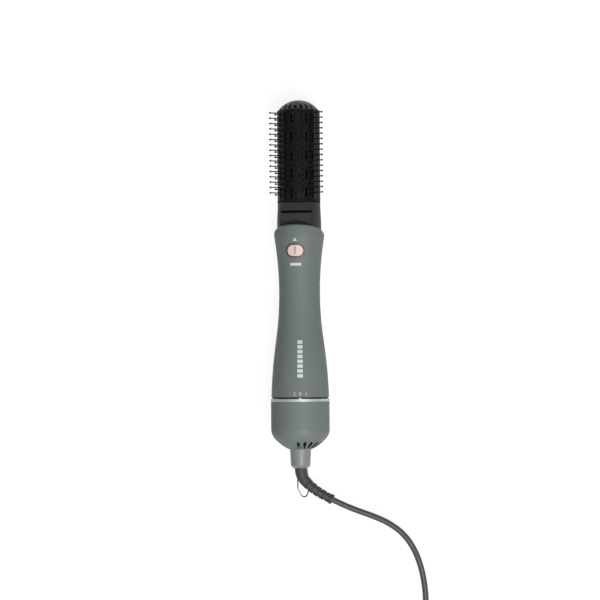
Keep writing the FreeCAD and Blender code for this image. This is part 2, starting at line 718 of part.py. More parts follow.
def make_cam():
    """Ring inside the cap whose notched edge works the switch."""
    body = new_body("cam")
    outer = s.cap_radius - s.cap_wall
    revolve(body, tube_points(outer, outer - s.cam_width, cam_z, cam_z + s.cam_height))
    before = volume_of(body)
    notch = outline(attach(body, "notch", "YZ_Plane"), rectangle(
        -1.5, 1.5, cam_z + s.cam_height / 2, cam_z + s.cam_height + 1.0))
    pocket = extrude(body, notch, s.cap_radius, "Pocket", reverse=True)
    must_cut(body, pocket, before)
    polar(body, pocket, 3, 23.0)
    keep(body, "switch_cam", turned(BACK))


# ---- handle ----

top_radius = handle_radius(flare_z) + 0.4
top_z = rim_z + s.cap_radius
rim_slope = math.tan(math.radians(s.rim_turn.number))


def handle_outline(shift, end_shift):
    """Outline of the handle's wall between two shifts inward from its outside."""
    flare = handle_radius(flare_z)
    flare_end_z = flare_z + s.flare_length
    outer = [
        (s.handle_base_radius - shift, base_z), (s.swell_radius - shift, swell_z, swell_arc),
        (flare - shift, flare_z, -waist_arc), (top_radius - shift, flare_end_z, s.flare_blend),
        (top_radius - shift, top_z),
    ]
    inner = [
        (top_radius - end_shift, top_z), (top_radius - end_shift, flare_end_z),
        (flare - end_shift, flare_z, -s.flare_blend), (s.swell_radius - end_shift, swell_z, waist_arc),
        (s.handle_base_radius - end_shift, base_z, -swell_arc),
    ]
    return outer + inner


def make_shell(label, side, rise):
    """Half of the handle's outside, cut by the sloping rim; the front half has the button's opening."""
    body = new_body(label + "_body")
    revolve(body, handle_outline(0, s.handle_wall), s.shell_turn)
    before = volume_of(body)
    reach = s.cap_radius * 2
    rim = outline(attach(body, label + "_rim", "XZ_Plane"), [
        (-reach, rim_z - reach * rise), (reach, rim_z + reach * rise), (reach, top_z + reach),
        (-reach, top_z + reach)])
    before = must_cut(body, extrude(body, rim, reach * 2, "Pocket", both_ways=True), before)
    if side == FRONT:
        window = outline(attach(body, "window", "YZ_Plane"), oval(
            s.bezel_width / 2 - s.bezel_lip, s.bezel_height / 2 - s.bezel_lip, button_z))
        must_cut(body, extrude(body, window, s.cap_radius, "Pocket", reverse=True), before)
    keep(body, label, turned(side))


def skin(name, proud, depth, z0, z1):
    """A closed ring that follows the waist arc, from a height above the handle's outside to a depth below."""
    body = new_body(name)
    revolve(body, [
        (handle_radius(z0) - depth, z0, waist_arc), (handle_radius(z0) + proud, z0),
        (handle_radius(z1) + proud, z1, -waist_arc), (handle_radius(z1) - depth, z1),
    ])
    return body


def facing(name, shapes, start, length):
    """A prism towards the front of the tool, from a distance off the axis; shapes are closed outlines."""
    body = new_body(name)
    sketch = attach(body, name + "_sketch", "XZ_Plane", start)
    for points in shapes:
        outline(sketch, points)
    extrude(body, sketch, length)
    return body


def make_rim():
    """Lighter rim: a sloping ring whose rounded edge closes in on the neck."""
    sections = []
    lift = s.rim_height
    slant = 1 / math.cos(math.radians(s.rim_turn.number))
    steps = ((top_radius, 0.0), (top_radius - 0.35 * s.rim_edge, 0.6), (top_radius - s.rim_edge, 1.0))
    for index, (radius, share) in enumerate(steps):
        ellipse = doc.addObject("Part::Ellipse", f"rim_section_{index}")
        tilt = FreeCAD.Rotation(FreeCAD.Vector(1, 0, 0), -s.rim_turn.number)
        quarter = FreeCAD.Rotation(FreeCAD.Vector(0, 0, 1), 90)
        ellipse.Placement = FreeCAD.Placement(FreeCAD.Vector(), tilt.multiply(quarter))
        bind(ellipse, MajorRadius=radius * slant, MinorRadius=radius)
        bind(ellipse, Placement__Base__z=rim_z + lift * share)
        sections.append(ellipse)
    loft = doc.addObject("Part::Loft", "rim_loft")
    loft.Sections = sections
    loft.Solid = True
    loft.Ruled = True
    bore = rod("rim_bore", s.neck_radius + s.gap, rim_z - s.cap_radius, rim_z + s.cap_radius)
    keep(boolean("Cut", "rim", loft, bore), "rim_ring")


def make_frame():
    """Inner frame: the tube in the cap's mouth, with a collar that fills the gap above the ring."""
    body = new_body("frame")
    outer = s.cap_radius - s.cap_wall - s.gap
    seat = s.handle_base_radius - s.handle_wall - s.gap - 0.1
    inner = outer - s.frame_wall
    start = cam_z + s.cam_height + 0.8
    hub = s.flange_radius + 2.6
    web_z = start + 2.0
    shade = s.handle_base_radius - s.shade_drop
    shade_z = ring_end_z + s.slide_gap
    shade_end_z = base_z - 0.2
    seat_end_z = base_z + s.frame_seat
    revolve(body, [
        (hub, start), (outer, start), (outer, shade_z), (shade, shade_z), (shade, shade_end_z),
        (seat, shade_end_z), (seat, seat_end_z), (inner, seat_end_z), (inner, web_z), (hub, web_z),
    ])
    before = volume_of(body)
    hole = circle(attach(body, "air", "XY_Plane"), 4.0, (hub + inner) / 2, 0)
    pocket = extrude(body, hole, base_z, "Pocket", reverse=True)
    must_cut(body, pocket, before)
    polar(body, pocket, 6, 360.0)
    keep(body, "inner_frame", turned(30))
    return start, hub


def make_socket(frame_z, hub):
    """Socket that holds the collar's flange and hangs from the inner frame."""
    body = new_body("socket")
    bore = s.core_radius + s.gap
    floor_z = flange_z - s.gap - 2.2
    inner = s.flange_radius + s.gap
    revolve(body, [
        (bore, floor_z), (hub, floor_z), (hub, frame_z + 2.0), (inner, frame_z + 2.0),
        (inner, flange_z - s.gap), (bore, flange_z - s.gap),
    ])
    keep(body, "swivel_socket")


motor_z = base_z + s.motor_rise
can_end_z = motor_z + s.motor_length
fan_z = base_z + 4.0


def make_motor_parts():
    """Motor can with its end cap, fan housing with its web, and the turning shaft, armature and fan."""
    can = new_body("can")
    inner = s.motor_radius - s.motor_wall
    hole = s.shaft_radius + s.gap
    revolve(can, [
        (inner, motor_z), (s.motor_radius, motor_z), (s.motor_radius, can_end_z), (hole, can_end_z),
        (hole, can_end_z - s.motor_wall), (inner, can_end_z - s.motor_wall),
    ])
    keep(can, "motor_can")
    cap = new_body("end")
    revolve(cap, tube_points(s.motor_radius, hole, motor_z - 2.5, motor_z))
    keep(cap, "motor_end_cap")
    housing = new_body("housing")
    outer = s.fan_radius + s.gap * 2 + s.housing_wall
    inside = s.fan_radius + s.gap * 2
    web_z = motor_z + 4.0
    revolve(housing, [
        (inside, fan_z - 1.0), (outer, fan_z - 1.0), (outer, fan_z + s.housing_length), (inside,
        fan_z + s.housing_length), (inside, web_z + 2.0), (s.motor_radius, web_z + 2.0),
        (s.motor_radius, web_z), (inside, web_z),
    ])
    before = volume_of(housing)
    middle = (inside + s.motor_radius) / 2
    hole_sketch = circle(attach(housing, "guide", "XY_Plane"), (inside - s.motor_radius) / 2 - 0.4, middle, 0)
    pocket = extrude(housing, hole_sketch, can_end_z, "Pocket", reverse=True)
    must_cut(housing, pocket, before)
    polar(housing, pocket, 12, 360.0)
    keep(housing, "fan_housing")
    keep(rod("shaft", s.shaft_radius, fan_z - 1.0, can_end_z + 3.0), "motor_shaft")
    armature = new_body("armature_stack")
    start = motor_z + (s.motor_length - s.armature_length) / 2
    revolve(armature, tube_points(s.armature_radius, s.shaft_radius, start, start + s.armature_length))
    keep(armature, "armature")
    fan = new_body("fan")
    revolve(fan, tube_points(s.hub_radius, s.shaft_radius, fan_z, fan_z + s.fan_height))
    blade = outline(attach(fan, "blade", "XY_Plane", fan_z + 0.5), rectangle(
        s.hub_radius - 0.5, s.fan_radius, -s.blade_thickness / 2, s.blade_thickness / 2))
    pad = extrude(fan, blade, s.fan_height - 1.0)
    polar(fan, pad, s.blade_count, 360.0)
    keep(fan, "fan_impeller")


def make_heater():
    """Mica sleeve and cross boards with the wavy heating coil round them, and the thermal cut-out."""
    start = waist_z - s.sleeve_length + 18.0
    sleeve = new_body("sleeve")
    revolve(sleeve, tube_points(s.sleeve_radius, s.sleeve_radius - s.sleeve_wall, start, start + s.sleeve_length))
    keep(sleeve, "heater_sleeve")
    low = start + (s.sleeve_length - s.board_length) / 2
    high = low + s.board_length
    middle = (low + high) / 2
    half, thin = s.board_width / 2, s.board_thickness / 2
    for label, upper in (("heater_board_a", True), ("heater_board_b", False)):
        slit = (middle, high) if upper else (low, middle)
        board = block(label + "_plate", -half, half, -thin, thin, low, high)
        cut = block(label + "_slit", -thin - 0.05, thin + 0.05, -thin - 1.0, thin + 1.0, *slit)
        keep(boolean("Cut", label + "_cut", board, cut), label, turned(0 if upper else 90))
    coil = new_body("element")
    turns = int(s.coil_turns.number)
    pitch = (s.board_length - 12.0) / turns
    wave = [(s.coil_radius - (s.coil_wave if index % 2 else 0), low + 3.0 + pitch / 2 * index)
            for index in range(2 * turns + 1)]
    back = [(radius - 0.5, z) for radius, z in reversed(wave)]
    revolve(coil, wave + back)
    keep(coil, "heating_coil")
    spot = thin + s.cutout_radius + 1.2
    keep(rod("cutout", s.cutout_radius, high - s.cutout_length, high, spot, spot), "thermal_cutout")


def make_electrics():
    """Slide switch under the inner frame's web, and the circuit board behind the motor."""
    far = s.cap_radius - s.cap_wall - s.cam_width - 2.4
    start = cam_z + s.cam_height + 3.0
    keep(block("switch", -s.switch_width / 2, s.switch_width / 2, far - s.switch_depth, far,
               start, start + s.switch_height), "switch_body")
    board_z = fan_z + s.housing_length + 1.0
    keep(block("circuit", -s.circuit_width / 2, s.circuit_width / 2, s.motor_radius + 0.6,
               s.motor_radius + 0.6 + s.circuit_thickness, board_z, board_z + s.circuit_length), "circuit_board")


# ---- button and latch ----

lever_z = button_z + 3.0
lever_radius = handle_radius(button_z) - s.stem_drop
press_z = button_z - 4.0


def make_button():
    """Oval bezel that follows the handle's surface, and the push button with its ridge and stem."""
    half_width, half_height = s.bezel_width / 2, s.bezel_height / 2
    wide = facing("bezel_wide", [oval(half_width, half_height, button_z)], 5.0, s.cap_radius)
    rim = boolean("Common", "bezel_rim", wide, skin(
        "bezel_skin", s.bezel_proud, 0.0, button_z - half_width, button_z + half_width))
    step = s.slide_gap
    lip = s.bezel_lip + step
    narrow = facing("bezel_narrow", [oval(half_width - lip, half_height - lip, button_z)], 5.0, s.cap_radius)
    throat = boolean("Common", "bezel_throat", narrow, skin(
        "bezel_inner_skin", s.bezel_proud, s.bezel_depth, button_z - half_width, button_z + half_width))
    hole = facing("bezel_hole", [oval(s.button_width / 2 + step, s.button_height / 2 + step, button_z)],
                  4.0, s.cap_radius * 1.2)
    keep(boolean("Cut", "bezel", boolean("Fuse", "bezel_body", rim, throat), hole), "button_bezel")

    pill = facing("button_pill", [oval(s.button_width / 2, s.button_height / 2, button_z)], 5.0, s.cap_radius)
    cap = boolean("Common", "button_top", pill, skin(
        "button_skin", s.button_proud, s.button_thickness - s.button_proud,
        button_z - s.button_width / 2, button_z + s.button_width / 2))
    bar = facing("ridge_bar", [rectangle(
        -s.ridge_width / 2, s.ridge_width / 2, button_z - s.ridge_length / 2, button_z + s.ridge_length / 2)],
        5.0, s.cap_radius)
    ridge = boolean("Common", "button_ridge", bar, skin(
        "ridge_skin", s.button_proud + s.ridge_proud, 0.0 - s.button_proud / 2,
        button_z - s.button_width / 2, button_z + s.button_width / 2))
    stem_end = lever_radius + 0.1
    stem = facing("button_stem", [rectangle(
        -s.stem_radius * 2, s.stem_radius * 2, press_z - s.stem_radius, press_z + s.stem_radius)],
        stem_end, handle_radius(press_z) - stem_end)
    keep(boolean("Fuse", "button", boolean("Fuse", "button_face", cap, ridge), stem), "button_cap")


def make_latch():
    """Steel lever on a cross pin: the button tips it and lifts its tooth off the spigot; and its bracket."""
    half = s.lever_width / 2
    centre = lever_radius - s.pin_radius
    low, high = lever_z - s.lever_reach, lever_z + s.lever_reach
    arm = block("lever_arm", -half, half, -lever_radius, -lever_radius + s.lever_thickness, low, high)
    tooth = block("lever_tooth", -half, half, -lever_radius, -(s.spigot_radius + s.catch_gap),
                  high - s.tooth_height, high)
    boss = cross_rod("lever_boss", s.boss_radius, s.lever_width, -centre, lever_z)
    body = boolean("Fuse", "lever_body", boolean("Fuse", "lever_bar", arm, tooth), boss)
    bore = cross_rod("lever_bore", s.pin_radius + 0.1, s.lever_width * 2, -centre, lever_z)
    keep(boolean("Cut", "lever", body, bore), "latch_lever")
    keep(cross_rod("pin", s.pin_radius, s.pin_length, -centre, lever_z), "latch_pin")

    outer = half + s.slide_gap + s.bracket_wall
    reach = s.bracket_height / 2
    cheeks = block("bracket_block", -outer, outer, -(lever_radius + 1.5), -(s.spigot_radius + s.gap),
                   lever_z - reach, lever_z + reach)
    wide = block("bracket_wide", -s.bezel_width / 2, s.bezel_width / 2, -s.cap_radius, -s.duct_radius,
                 lever_z - reach, lever_z + reach)
    plate = boolean("Common", "bracket_plate", wide, skin(
        "bracket_skin", 0.0 - s.handle_wall, s.handle_wall + 1.2, lever_z - reach, lever_z + reach))
    whole = boolean("Fuse", "bracket_whole", cheeks, plate)
    path = block("bracket_path", -half - s.slide_gap, half + s.slide_gap, -(centre + s.boss_radius + 0.3), 0,
                 lever_z - reach - 1.0, lever_z + reach + 1.0)
    open_block = boolean("Cut", "bracket_open", whole, path)
    hole = cross_rod("bracket_hole", s.pin_radius, s.pin_length, -centre, lever_z)
    keep(boolean("Cut", "bracket", open_block, hole), "latch_bracket")


# ---- brush head ----

def make_neck():
    """Neck: a thick duct with a spigot that slides into the handle, a flat front and a cross vent."""
    body = new_body("neck")
    inner = s.spigot_radius - s.spigot_wall
    revolve(body, [
        (inner, spigot_z), (s.spigot_radius, spigot_z), (s.spigot_radius, neck_z), (s.neck_radius, neck_z),
        (s.neck_radius, neck_z + s.neck_drop * 2), (s.neck_top_radius, barrel_z), (s.duct_radius, barrel_z),
        (s.duct_radius, neck_z + 2.0), (inner, neck_z),
    ])
    before = volume_of(body)
    front_z = barrel_z - s.flat_length
    flat = outline(attach(body, "flat", "YZ_Plane"), rectangle(
        -s.cap_radius, -s.flat_depth, front_z, barrel_z + 1.0))
    before = must_cut(body, extrude(body, flat, s.cap_radius * 2, "Pocket", both_ways=True), before)
    vent_z = barrel_z - s.vent_height - s.vent_down
    vent = outline(attach(body, "vent", "XZ_Plane", s.flat_depth - s.vent_depth), rectangle(
        -s.vent_width / 2, s.vent_width / 2, vent_z, vent_z + s.vent_height))
    before = must_cut(body, extrude(body, vent, s.cap_radius, "Pocket", reverse=True), before)
    catch_z = lever_z + s.lever_reach
    notch = outline(attach(body, "catch", "XZ_Plane", s.spigot_radius - 0.9), rectangle(
        -s.lever_width / 2 - s.gap, s.lever_width / 2 + s.gap, catch_z - s.tooth_height - s.gap,
        catch_z + s.gap))
    must_cut(body, extrude(body, notch, s.cap_radius, "Pocket", reverse=True), before)
    keep(body, "head_neck")
    keep(block("panel", -s.panel_width / 2, s.panel_width / 2, -s.flat_depth - s.panel_thickness, -s.flat_depth,
               vent_z - 0.6 - s.panel_height, vent_z - 0.6), "front_panel")


def make_barrel():
    """Front plate with a long slot for each bristle row and vents in the lands; plain back plate."""
    inner = s.barrel_radius - s.barrel_wall
    plate = new_body("front_plate")
    revolve(plate, tube_points(s.barrel_radius, inner, barrel_z, dome_tip_z), s.front_plate_angle)
    before = volume_of(plate)
    turn = FreeCAD.Rotation(FreeCAD.Vector(0, 1, 0), -s.row_span.number / 2)
    rows = attach(plate, "rows", "YZ_Plane", turn=turn)
    bind(rows, AttachmentOffset__Rotation__Angle=0.0 - s.row_span / 2)
    outline(rows, rectangle(-s.strip_width / 2 - 0.1, s.strip_width / 2 + 0.1, barrel_z + 2.0, dome_tip_z + 1.0))
    pocket = extrude(plate, rows, s.cap_radius, "Pocket", reverse=True)
    must_cut(plate, pocket, before)
    pattern = polar(plate, pocket, s.row_count, s.row_span)
    before = volume_of(pattern)
    land = s.row_span / (s.row_count - 1)
    lands = attach(plate, "lands", "YZ_Plane", turn=turn)
    bind(lands, AttachmentOffset__Rotation__Angle=land / 2 - s.row_span / 2)
    count = int(s.land_slot_count.number)
    step = s.barrel_length / count
    half = s.land_slot_width / 2
    for index in range(count):
        middle = barrel_z + step * (index + 0.5)
        outline(lands, rectangle(-half, half, middle - s.land_slot_length / 2, middle + s.land_slot_length / 2))
    vents = extrude(plate, lands, s.cap_radius, "Pocket", reverse=True)
    must_cut(plate, vents, before)
    polar(plate, vents, s.row_count - 1, s.row_span - land)
    keep(plate, "barrel_front", turned(FRONT))
    back = new_body("back_plate")
    revolve(back, tube_points(s.barrel_radius, inner, barrel_z, dome_tip_z), s.barrel_turn - s.front_plate_angle)
    keep(back, "barrel_back", turned(BACK))


def make_tip():
    """Domed tip with a spigot in the barrel, and the rod that ties it to the neck."""
    body = new_body("tip")
    inner = s.barrel_radius - s.barrel_wall - s.strip_depth
    base_radius = root(s.dome_radius * s.dome_radius - (s.dome_radius - s.dome_rise) * (
        s.dome_radius - s.dome_rise))
    revolve(body, [
        (0, dome_tip_z), (base_radius, dome_tip_z), (0, dome_tip_z + s.dome_rise, s.dome_radius)])
    spigot = circle(attach(body, "tip_spigot", "XY_Plane", dome_tip_z - 4.0), inner)
    extrude(body, spigot, 5.0)
    keep(body, "tip_cap")
    keep(rod("tie_rod_cylinder", s.rod_radius, spigot_z + 6.0, dome_tip_z - 4.0), "tie_rod")


def make_bristle_row(index):
    """One rubber strip with its sixteen ball-ended bristles."""
    body = new_body(f"row_{index}")
    start_z = barrel_z + 2.3
    strip = outline(attach(body, f"strip_{index}", "XY_Plane", start_z), rectangle(
        s.barrel_radius - s.strip_depth, s.barrel_radius, -s.strip_width / 2, s.strip_width / 2))
    extrude(body, strip, dome_tip_z - start_z - 0.3)
    tip = s.barrel_radius + s.bristle_length
    ball = s.bristle_ball
    stem_end = tip - ball - root(ball * ball - s.bristle_neck * s.bristle_neck)
    first_z = barrel_z + s.bristle_start + (0 if index % 2 else s.bristle_pitch / 2)
    sketch = outline(attach(body, f"bristle_{index}", "XY_Plane", first_z), [
        (s.barrel_radius - 0.5, 0), (tip, 0), (stem_end, s.bristle_neck, ball),
        (s.barrel_radius - 0.5, s.bristle_root)])
    bristle = body.newObject("PartDesign::Revolution", f"bristle_turned_{index}")
    bristle.Profile = sketch
    bristle.ReferenceAxis = (sketch, ["H_Axis"])
    bristle.Angle = 360
    sketch.Visibility = False
    pattern = body.newObject("PartDesign::LinearPattern", f"bristles_{index}")
    pattern.Originals = [bristle]
    pattern.Direction = (origin_feature(body, "Z_Axis"), [""])
    bind(pattern, Length=s.bristle_pitch * (s.bristles_in_row - 1), Occurrences=s.bristles_in_row)
    body.Tip = pattern
    step = s.row_span.number / (s.row_count.number - 1)
    keep(body, f"bristle_row_{index + 1}", turned(FRONT - s.row_span.number / 2 + step * index))


# ---- the whole tool ----

make_collar()
make_slip_rings()
make_strain_relief()
make_cord()
make_plug()
make_loop()
make_cap()
make_ring()
make_filter()
make_cam()
make_shell("front_shell", FRONT, rim_slope)
make_shell("rear_shell", BACK, -rim_slope)
make_rim()
make_socket(*make_frame())
make_motor_parts()
make_heater()
make_electrics()
make_button()
make_latch()
make_neck()
make_barrel()
make_tip()
for number in range(DIMENSIONS["row_count"]):
    make_bristle_row(number)

doc.recompute()
for item in doc.Objects:
    if "Invalid" in item.State or "Error" in item.State:
        raise ValueError(f"{item.Name} failed: {item.State}")
for node in nodes:
    if node.Shape.isNull() or not node.Shape.isValid() or not node.Shape.Solids:
        raise ValueError(f"{node.Label} has no valid solid")
os.makedirs("parts", exist_ok=True)
for node in nodes:
    node.Shape.exportStep(f"parts/{node.Label}.step")
print(len(nodes), "sub-parts; rest angle", round(rest_angle, 3), "exit height", round(exit_height, 2))
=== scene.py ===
import json
import math

import bmesh
import bpy
from mathutils import Matrix, Vector
from mathutils.bvhtree import BVHTree

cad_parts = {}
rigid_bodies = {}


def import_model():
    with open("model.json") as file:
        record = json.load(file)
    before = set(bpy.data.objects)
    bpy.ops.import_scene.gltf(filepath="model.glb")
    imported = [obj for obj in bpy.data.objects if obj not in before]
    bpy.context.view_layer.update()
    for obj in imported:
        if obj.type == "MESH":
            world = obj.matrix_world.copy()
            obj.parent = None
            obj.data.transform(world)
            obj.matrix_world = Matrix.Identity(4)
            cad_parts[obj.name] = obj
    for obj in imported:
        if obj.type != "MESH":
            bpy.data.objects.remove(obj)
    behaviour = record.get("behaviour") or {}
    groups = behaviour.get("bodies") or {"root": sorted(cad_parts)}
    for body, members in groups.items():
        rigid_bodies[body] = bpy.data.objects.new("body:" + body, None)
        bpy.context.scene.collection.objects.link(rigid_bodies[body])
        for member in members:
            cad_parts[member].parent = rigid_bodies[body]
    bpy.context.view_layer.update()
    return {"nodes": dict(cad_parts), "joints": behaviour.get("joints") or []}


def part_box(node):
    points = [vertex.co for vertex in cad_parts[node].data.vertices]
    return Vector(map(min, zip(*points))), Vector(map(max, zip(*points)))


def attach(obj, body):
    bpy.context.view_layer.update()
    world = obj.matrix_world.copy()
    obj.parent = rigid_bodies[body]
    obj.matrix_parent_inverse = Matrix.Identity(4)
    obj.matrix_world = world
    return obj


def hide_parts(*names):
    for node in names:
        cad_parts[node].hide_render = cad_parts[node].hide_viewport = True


for leftover in list(bpy.data.objects):
    bpy.data.objects.remove(leftover)
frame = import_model()
MM = 0.001


# ---- the handle: two moulded half shells ----
# A front and a rear shell of glass-filled plastic, painted a soft sage grey and snapped together along the
# sides. The skin has a fine spark-eroded grain that shines a little where hands and edges have polished it.

def tone(red, green, blue):
    """A colour on the scale of 0 to 255, as the linear values that a socket takes."""
    def linear(value):
        value /= 255
        return value / 12.92 if value <= 0.04045 else ((value + 0.055) / 1.055) ** 2.4
    return (linear(red), linear(green), linear(blue), 1.0)


def add_node(tree, kind, inputs=None, **settings):
    """A node whose inputs, by name or number, are values or the outputs that feed them."""
    node = tree.nodes.new(kind)
    for key, value in settings.items():
        setattr(node, key, value)
    for key, value in (inputs or {}).items():
        if isinstance(value, bpy.types.NodeSocket):
            tree.links.new(value, node.inputs[key])
        else:
            node.inputs[key].default_value = value
    return node


def made(tree, kind, inputs=None, **settings):
    """The first output of a new node."""
    return add_node(tree, kind, inputs, **settings).outputs[0]


def math_of(tree, operation, first, second=0.0, clamp=False):
    return made(tree, "ShaderNodeMath", {0: first, 1: second}, operation=operation, use_clamp=clamp)


def plus(tree, first, second, clamp=False):
    return math_of(tree, "ADD", first, second, clamp)


def minus(tree, first, second, clamp=False):
    return math_of(tree, "SUBTRACT", first, second, clamp)


def times(tree, first, second, clamp=False):
    return math_of(tree, "MULTIPLY", first, second, clamp)


def vector_math(tree, operation, first, second=(0.0, 0.0, 0.0)):
    node = add_node(tree, "ShaderNodeVectorMath", {0: first, 1: second}, operation=operation)
    return node.outputs["Value" if operation == "DOT_PRODUCT" else "Vector"]


def ramp(tree, value, start, end, ease="LINEAR"):
    """How far a value has come from start to end, as 0 to 1."""
    return made(tree, "ShaderNodeMapRange", {0: value, 1: start, 2: end}, interpolation_type=ease)


def noise(tree, place, scale, detail, **more):
    inputs = {"Vector": place, "Scale": scale, "Detail": detail, **more}
    return add_node(tree, "ShaderNodeTexNoise", inputs).outputs["Fac"]


def object_place(tree):
    return add_node(tree, "ShaderNodeTexCoord").outputs["Object"]


def mixed(tree, share, first, second):
    return add_node(tree, "ShaderNodeMix", {0: share, 6: first, 7: second}, data_type="RGBA").outputs[2]


def shader_group(name, inputs, outputs):
    """An empty shader group with named sockets: inputs as (name, kind, value), outputs as (name, kind)."""
    group = bpy.data.node_groups.new(name, "ShaderNodeTree")
    for label, kind, value in inputs:
        socket = group.interface.new_socket(label, in_out="INPUT", socket_type="NodeSocket" + kind)
        socket.default_value = value
    for label, kind in outputs:
        group.interface.new_socket(label, in_out="OUTPUT", socket_type="NodeSocket" + kind)
    return group, group.nodes.new("NodeGroupInput").outputs, group.nodes.new("NodeGroupOutput").inputs


def make_edge_wear():
    """Where an edge is rubbed: the mask is the turn of the surface within the radius, broken up by noise."""
    group, given, gives = shader_group(
        "edge_wear", [("Radius", "Float", 0.0006), ("Gain", "Float", 6.0)], [("Mask", "Float")])
    place = object_place(group)
    rounded = made(group, "ShaderNodeBevel", {"Radius": given["Radius"]}, samples=4)
    plain = add_node(group, "ShaderNodeNewGeometry").outputs["Normal"]
    same = vector_math(group, "DOT_PRODUCT", rounded, plain)
    turn = times(group, minus(group, 1.0, same), given["Gain"], clamp=True)
    chips = noise(group, place, 900.0, 3.0)
    broken = ramp(group, chips, 0.38, 0.62)
    group.links.new(times(group, turn, broken), gives["Mask"])
    return group


def make_moulded_skin():
    """Colour, roughness and height of a moulded or painted skin: grain, cloudy tone, hand polish and rubs."""
    group, given, gives = shader_group(
        "moulded_skin",
        [("Color", "Color", (0.2, 0.2, 0.2, 1)), ("Worn And Shade Color", "Color", (0.3, 0.3, 0.3, 1)),
         ("Wear And Shade", "Float", 0.0), ("Spread", "Float", 0.06), ("Roughness", "Float", 0.45),
         ("Polish", "Float", 0.12), ("Grain Scale", "Float", 2200.0), ("Grain", "Float", 1.0)],
        [("Color", "Color"), ("Roughness", "Float"), ("Height", "Float")])
    place = object_place(group)
    grain = noise(group, place, given["Grain Scale"], 2.0, Roughness=0.6)
    cloud = noise(group, place, 38.0, 4.0, Distortion=0.4)
    hands = noise(group, place, 90.0, 5.0, Roughness=0.7)
    rub_place = made(group, "ShaderNodeMapping", {0: place, "Scale": (2600.0, 160.0, 2600.0)})
    rubs = noise(group, rub_place, 1.0, 2.0)
    fine_rubs = ramp(group, rubs, 0.62, 0.8)
    mixed_cloud = plus(group, times(group, cloud, 0.7), times(group, grain, 0.3))
    value = plus(group, 1.0, times(
        group, minus(group, mixed_cloud, 0.5), times(group, given["Spread"], 4.0)))
    shaded = made(
        group, "ShaderNodeHueSaturation", {"Color": given["Color"], "Value": value})
    group.links.new(mixed(group, given["Wear And Shade"], shaded, given["Worn And Shade Color"]), gives["Color"])
    sway = times(group, minus(group, hands, 0.5), times(group, given["Polish"], 4.0))
    rough = plus(group, given["Roughness"], sway)
    rough = minus(group, rough, times(group, fine_rubs, given["Polish"]))
    rough = minus(group, rough, times(group, given["Wear And Shade"], 0.12), clamp=True)
    group.links.new(rough, gives["Roughness"])
    smooth_edge = minus(group, 1.0, given["Wear And Shade"])
    height = times(group, times(group, grain, given["Grain"]), smooth_edge)
    group.links.new(height, gives["Height"])
    return group


edge_wear = make_edge_wear()
moulded_skin = make_moulded_skin()
BUMP_STRENGTH = 0.5


def surface(name, skin, sockets, bump, wear=None, **shader):
    """A material from a skin group and its values: bump is the height of its grain in metres, wear the radius
    and gain of its rubbed edges, and shader holds plain values of the Principled shader."""
    material = bpy.data.materials.new(name)
    material.use_nodes = True
    tree = material.node_tree
    tree.nodes.clear()
    skin_node = add_node(tree, "ShaderNodeGroup", sockets, node_tree=skin)
    if wear:
        worn_and_shade = add_node(tree, "ShaderNodeGroup", {"Radius": wear[0], "Gain": wear[1]}, node_tree=edge_wear)
        tree.links.new(worn_and_shade.outputs["Mask"], skin_node.inputs["Wear And Shade"])
    relief = add_node(tree, "ShaderNodeBump", {
        "Height": skin_node.outputs["Height"], "Distance": bump, "Strength": BUMP_STRENGTH})
    shade = add_node(tree, "ShaderNodeBsdfPrincipled", {
        "Base Color": skin_node.outputs["Color"], "Roughness": skin_node.outputs["Roughness"],
        "Normal": relief.outputs[0]})
    for label, value in shader.items():
        shade.inputs[label.replace("_", " ")].default_value = value
    out = add_node(tree, "ShaderNodeOutputMaterial")
    tree.links.new(shade.outputs[0], out.inputs["Surface"])
    return material


def moulded(name, colour, worn_and_shade, spread, roughness, polish, grain_scale, grain=1.0, **more):
    """A moulded or painted finish, with its colours on the scale of 0 to 255."""
    return surface(name, moulded_skin, {
        "Color": tone(*colour), "Worn And Shade Color": tone(*worn_and_shade), "Spread": spread, "Roughness": roughness,
        "Polish": polish, "Grain Scale": grain_scale, "Grain": grain}, **more)


def dress(material, *names):
    """Gives CAD pieces their finish."""
    for name in names:
        for place in frame["nodes"][name].material_slots:
            place.material = material


SAGE = (122, 132, 128)
handle_paint = moulded(
    "handle_paint", SAGE, (150, 158, 154), wear=(0.0005, 3.0), spread=0.05, roughness=0.52, polish=0.1,
    grain_scale=2400.0, bump=0.00003, Specular_IOR_Level=0.32)
dress(handle_paint, "front_shell", "rear_shell")


# ---- the marks on the handle ----
# White pad printing, less than a tenth of a millimetre thick: the three figures of the dial, an arrow above
# the button, a short rule under it and a column of plain bars down the grip.

swivel = next(joint for joint in frame["joints"] if joint["name"] == "swivel")
collar_end = Vector(swivel["pos_m"])
axis = Vector(swivel["axis"]).normalized()
up = Vector((0, -axis.z, axis.y))
SHARP_EDGE = math.radians(35)
CLEAR_OF_WALL = 0.06
FILM = 0.00008
WELD = 0.000001


def on_tool(across, along, rise):
    """A place from millimetres right of the tool's axis, along it from the collar's end, and up from it."""
    return collar_end + (Vector((across, 0, 0)) + axis * along + up * rise) * MM


def placed(name, data):
    """A new object in the scene, at the origin."""
    item = bpy.data.objects.new(name, data)
    bpy.context.scene.collection.objects.link(item)
    return item


def mesh_of(item):
    """The mesh that a curve or a text object makes; the object itself goes."""
    mesh = bpy.data.meshes.new_from_object(item)
    bpy.data.objects.remove(item)
    return mesh


def closed_mesh(shape):
    """A plain mesh from a closed bmesh, with its faces turned outward."""
    bmesh.ops.recalc_face_normals(shape, faces=shape.faces)
    mesh = bpy.data.meshes.new("closed")
    shape.to_mesh(mesh)
    shape.free()
    return mesh


def new_piece(name, mesh, body, material=None):
    """A finished piece at the origin that rides on a CAD body."""
    piece = placed(name, mesh)
    if material:
        mesh.materials.append(material)
    mesh.polygons.foreach_set("use_smooth", [True] * len(mesh.polygons))
    mesh.set_sharp_from_angle(angle=SHARP_EDGE)
    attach(piece, body)
    return piece


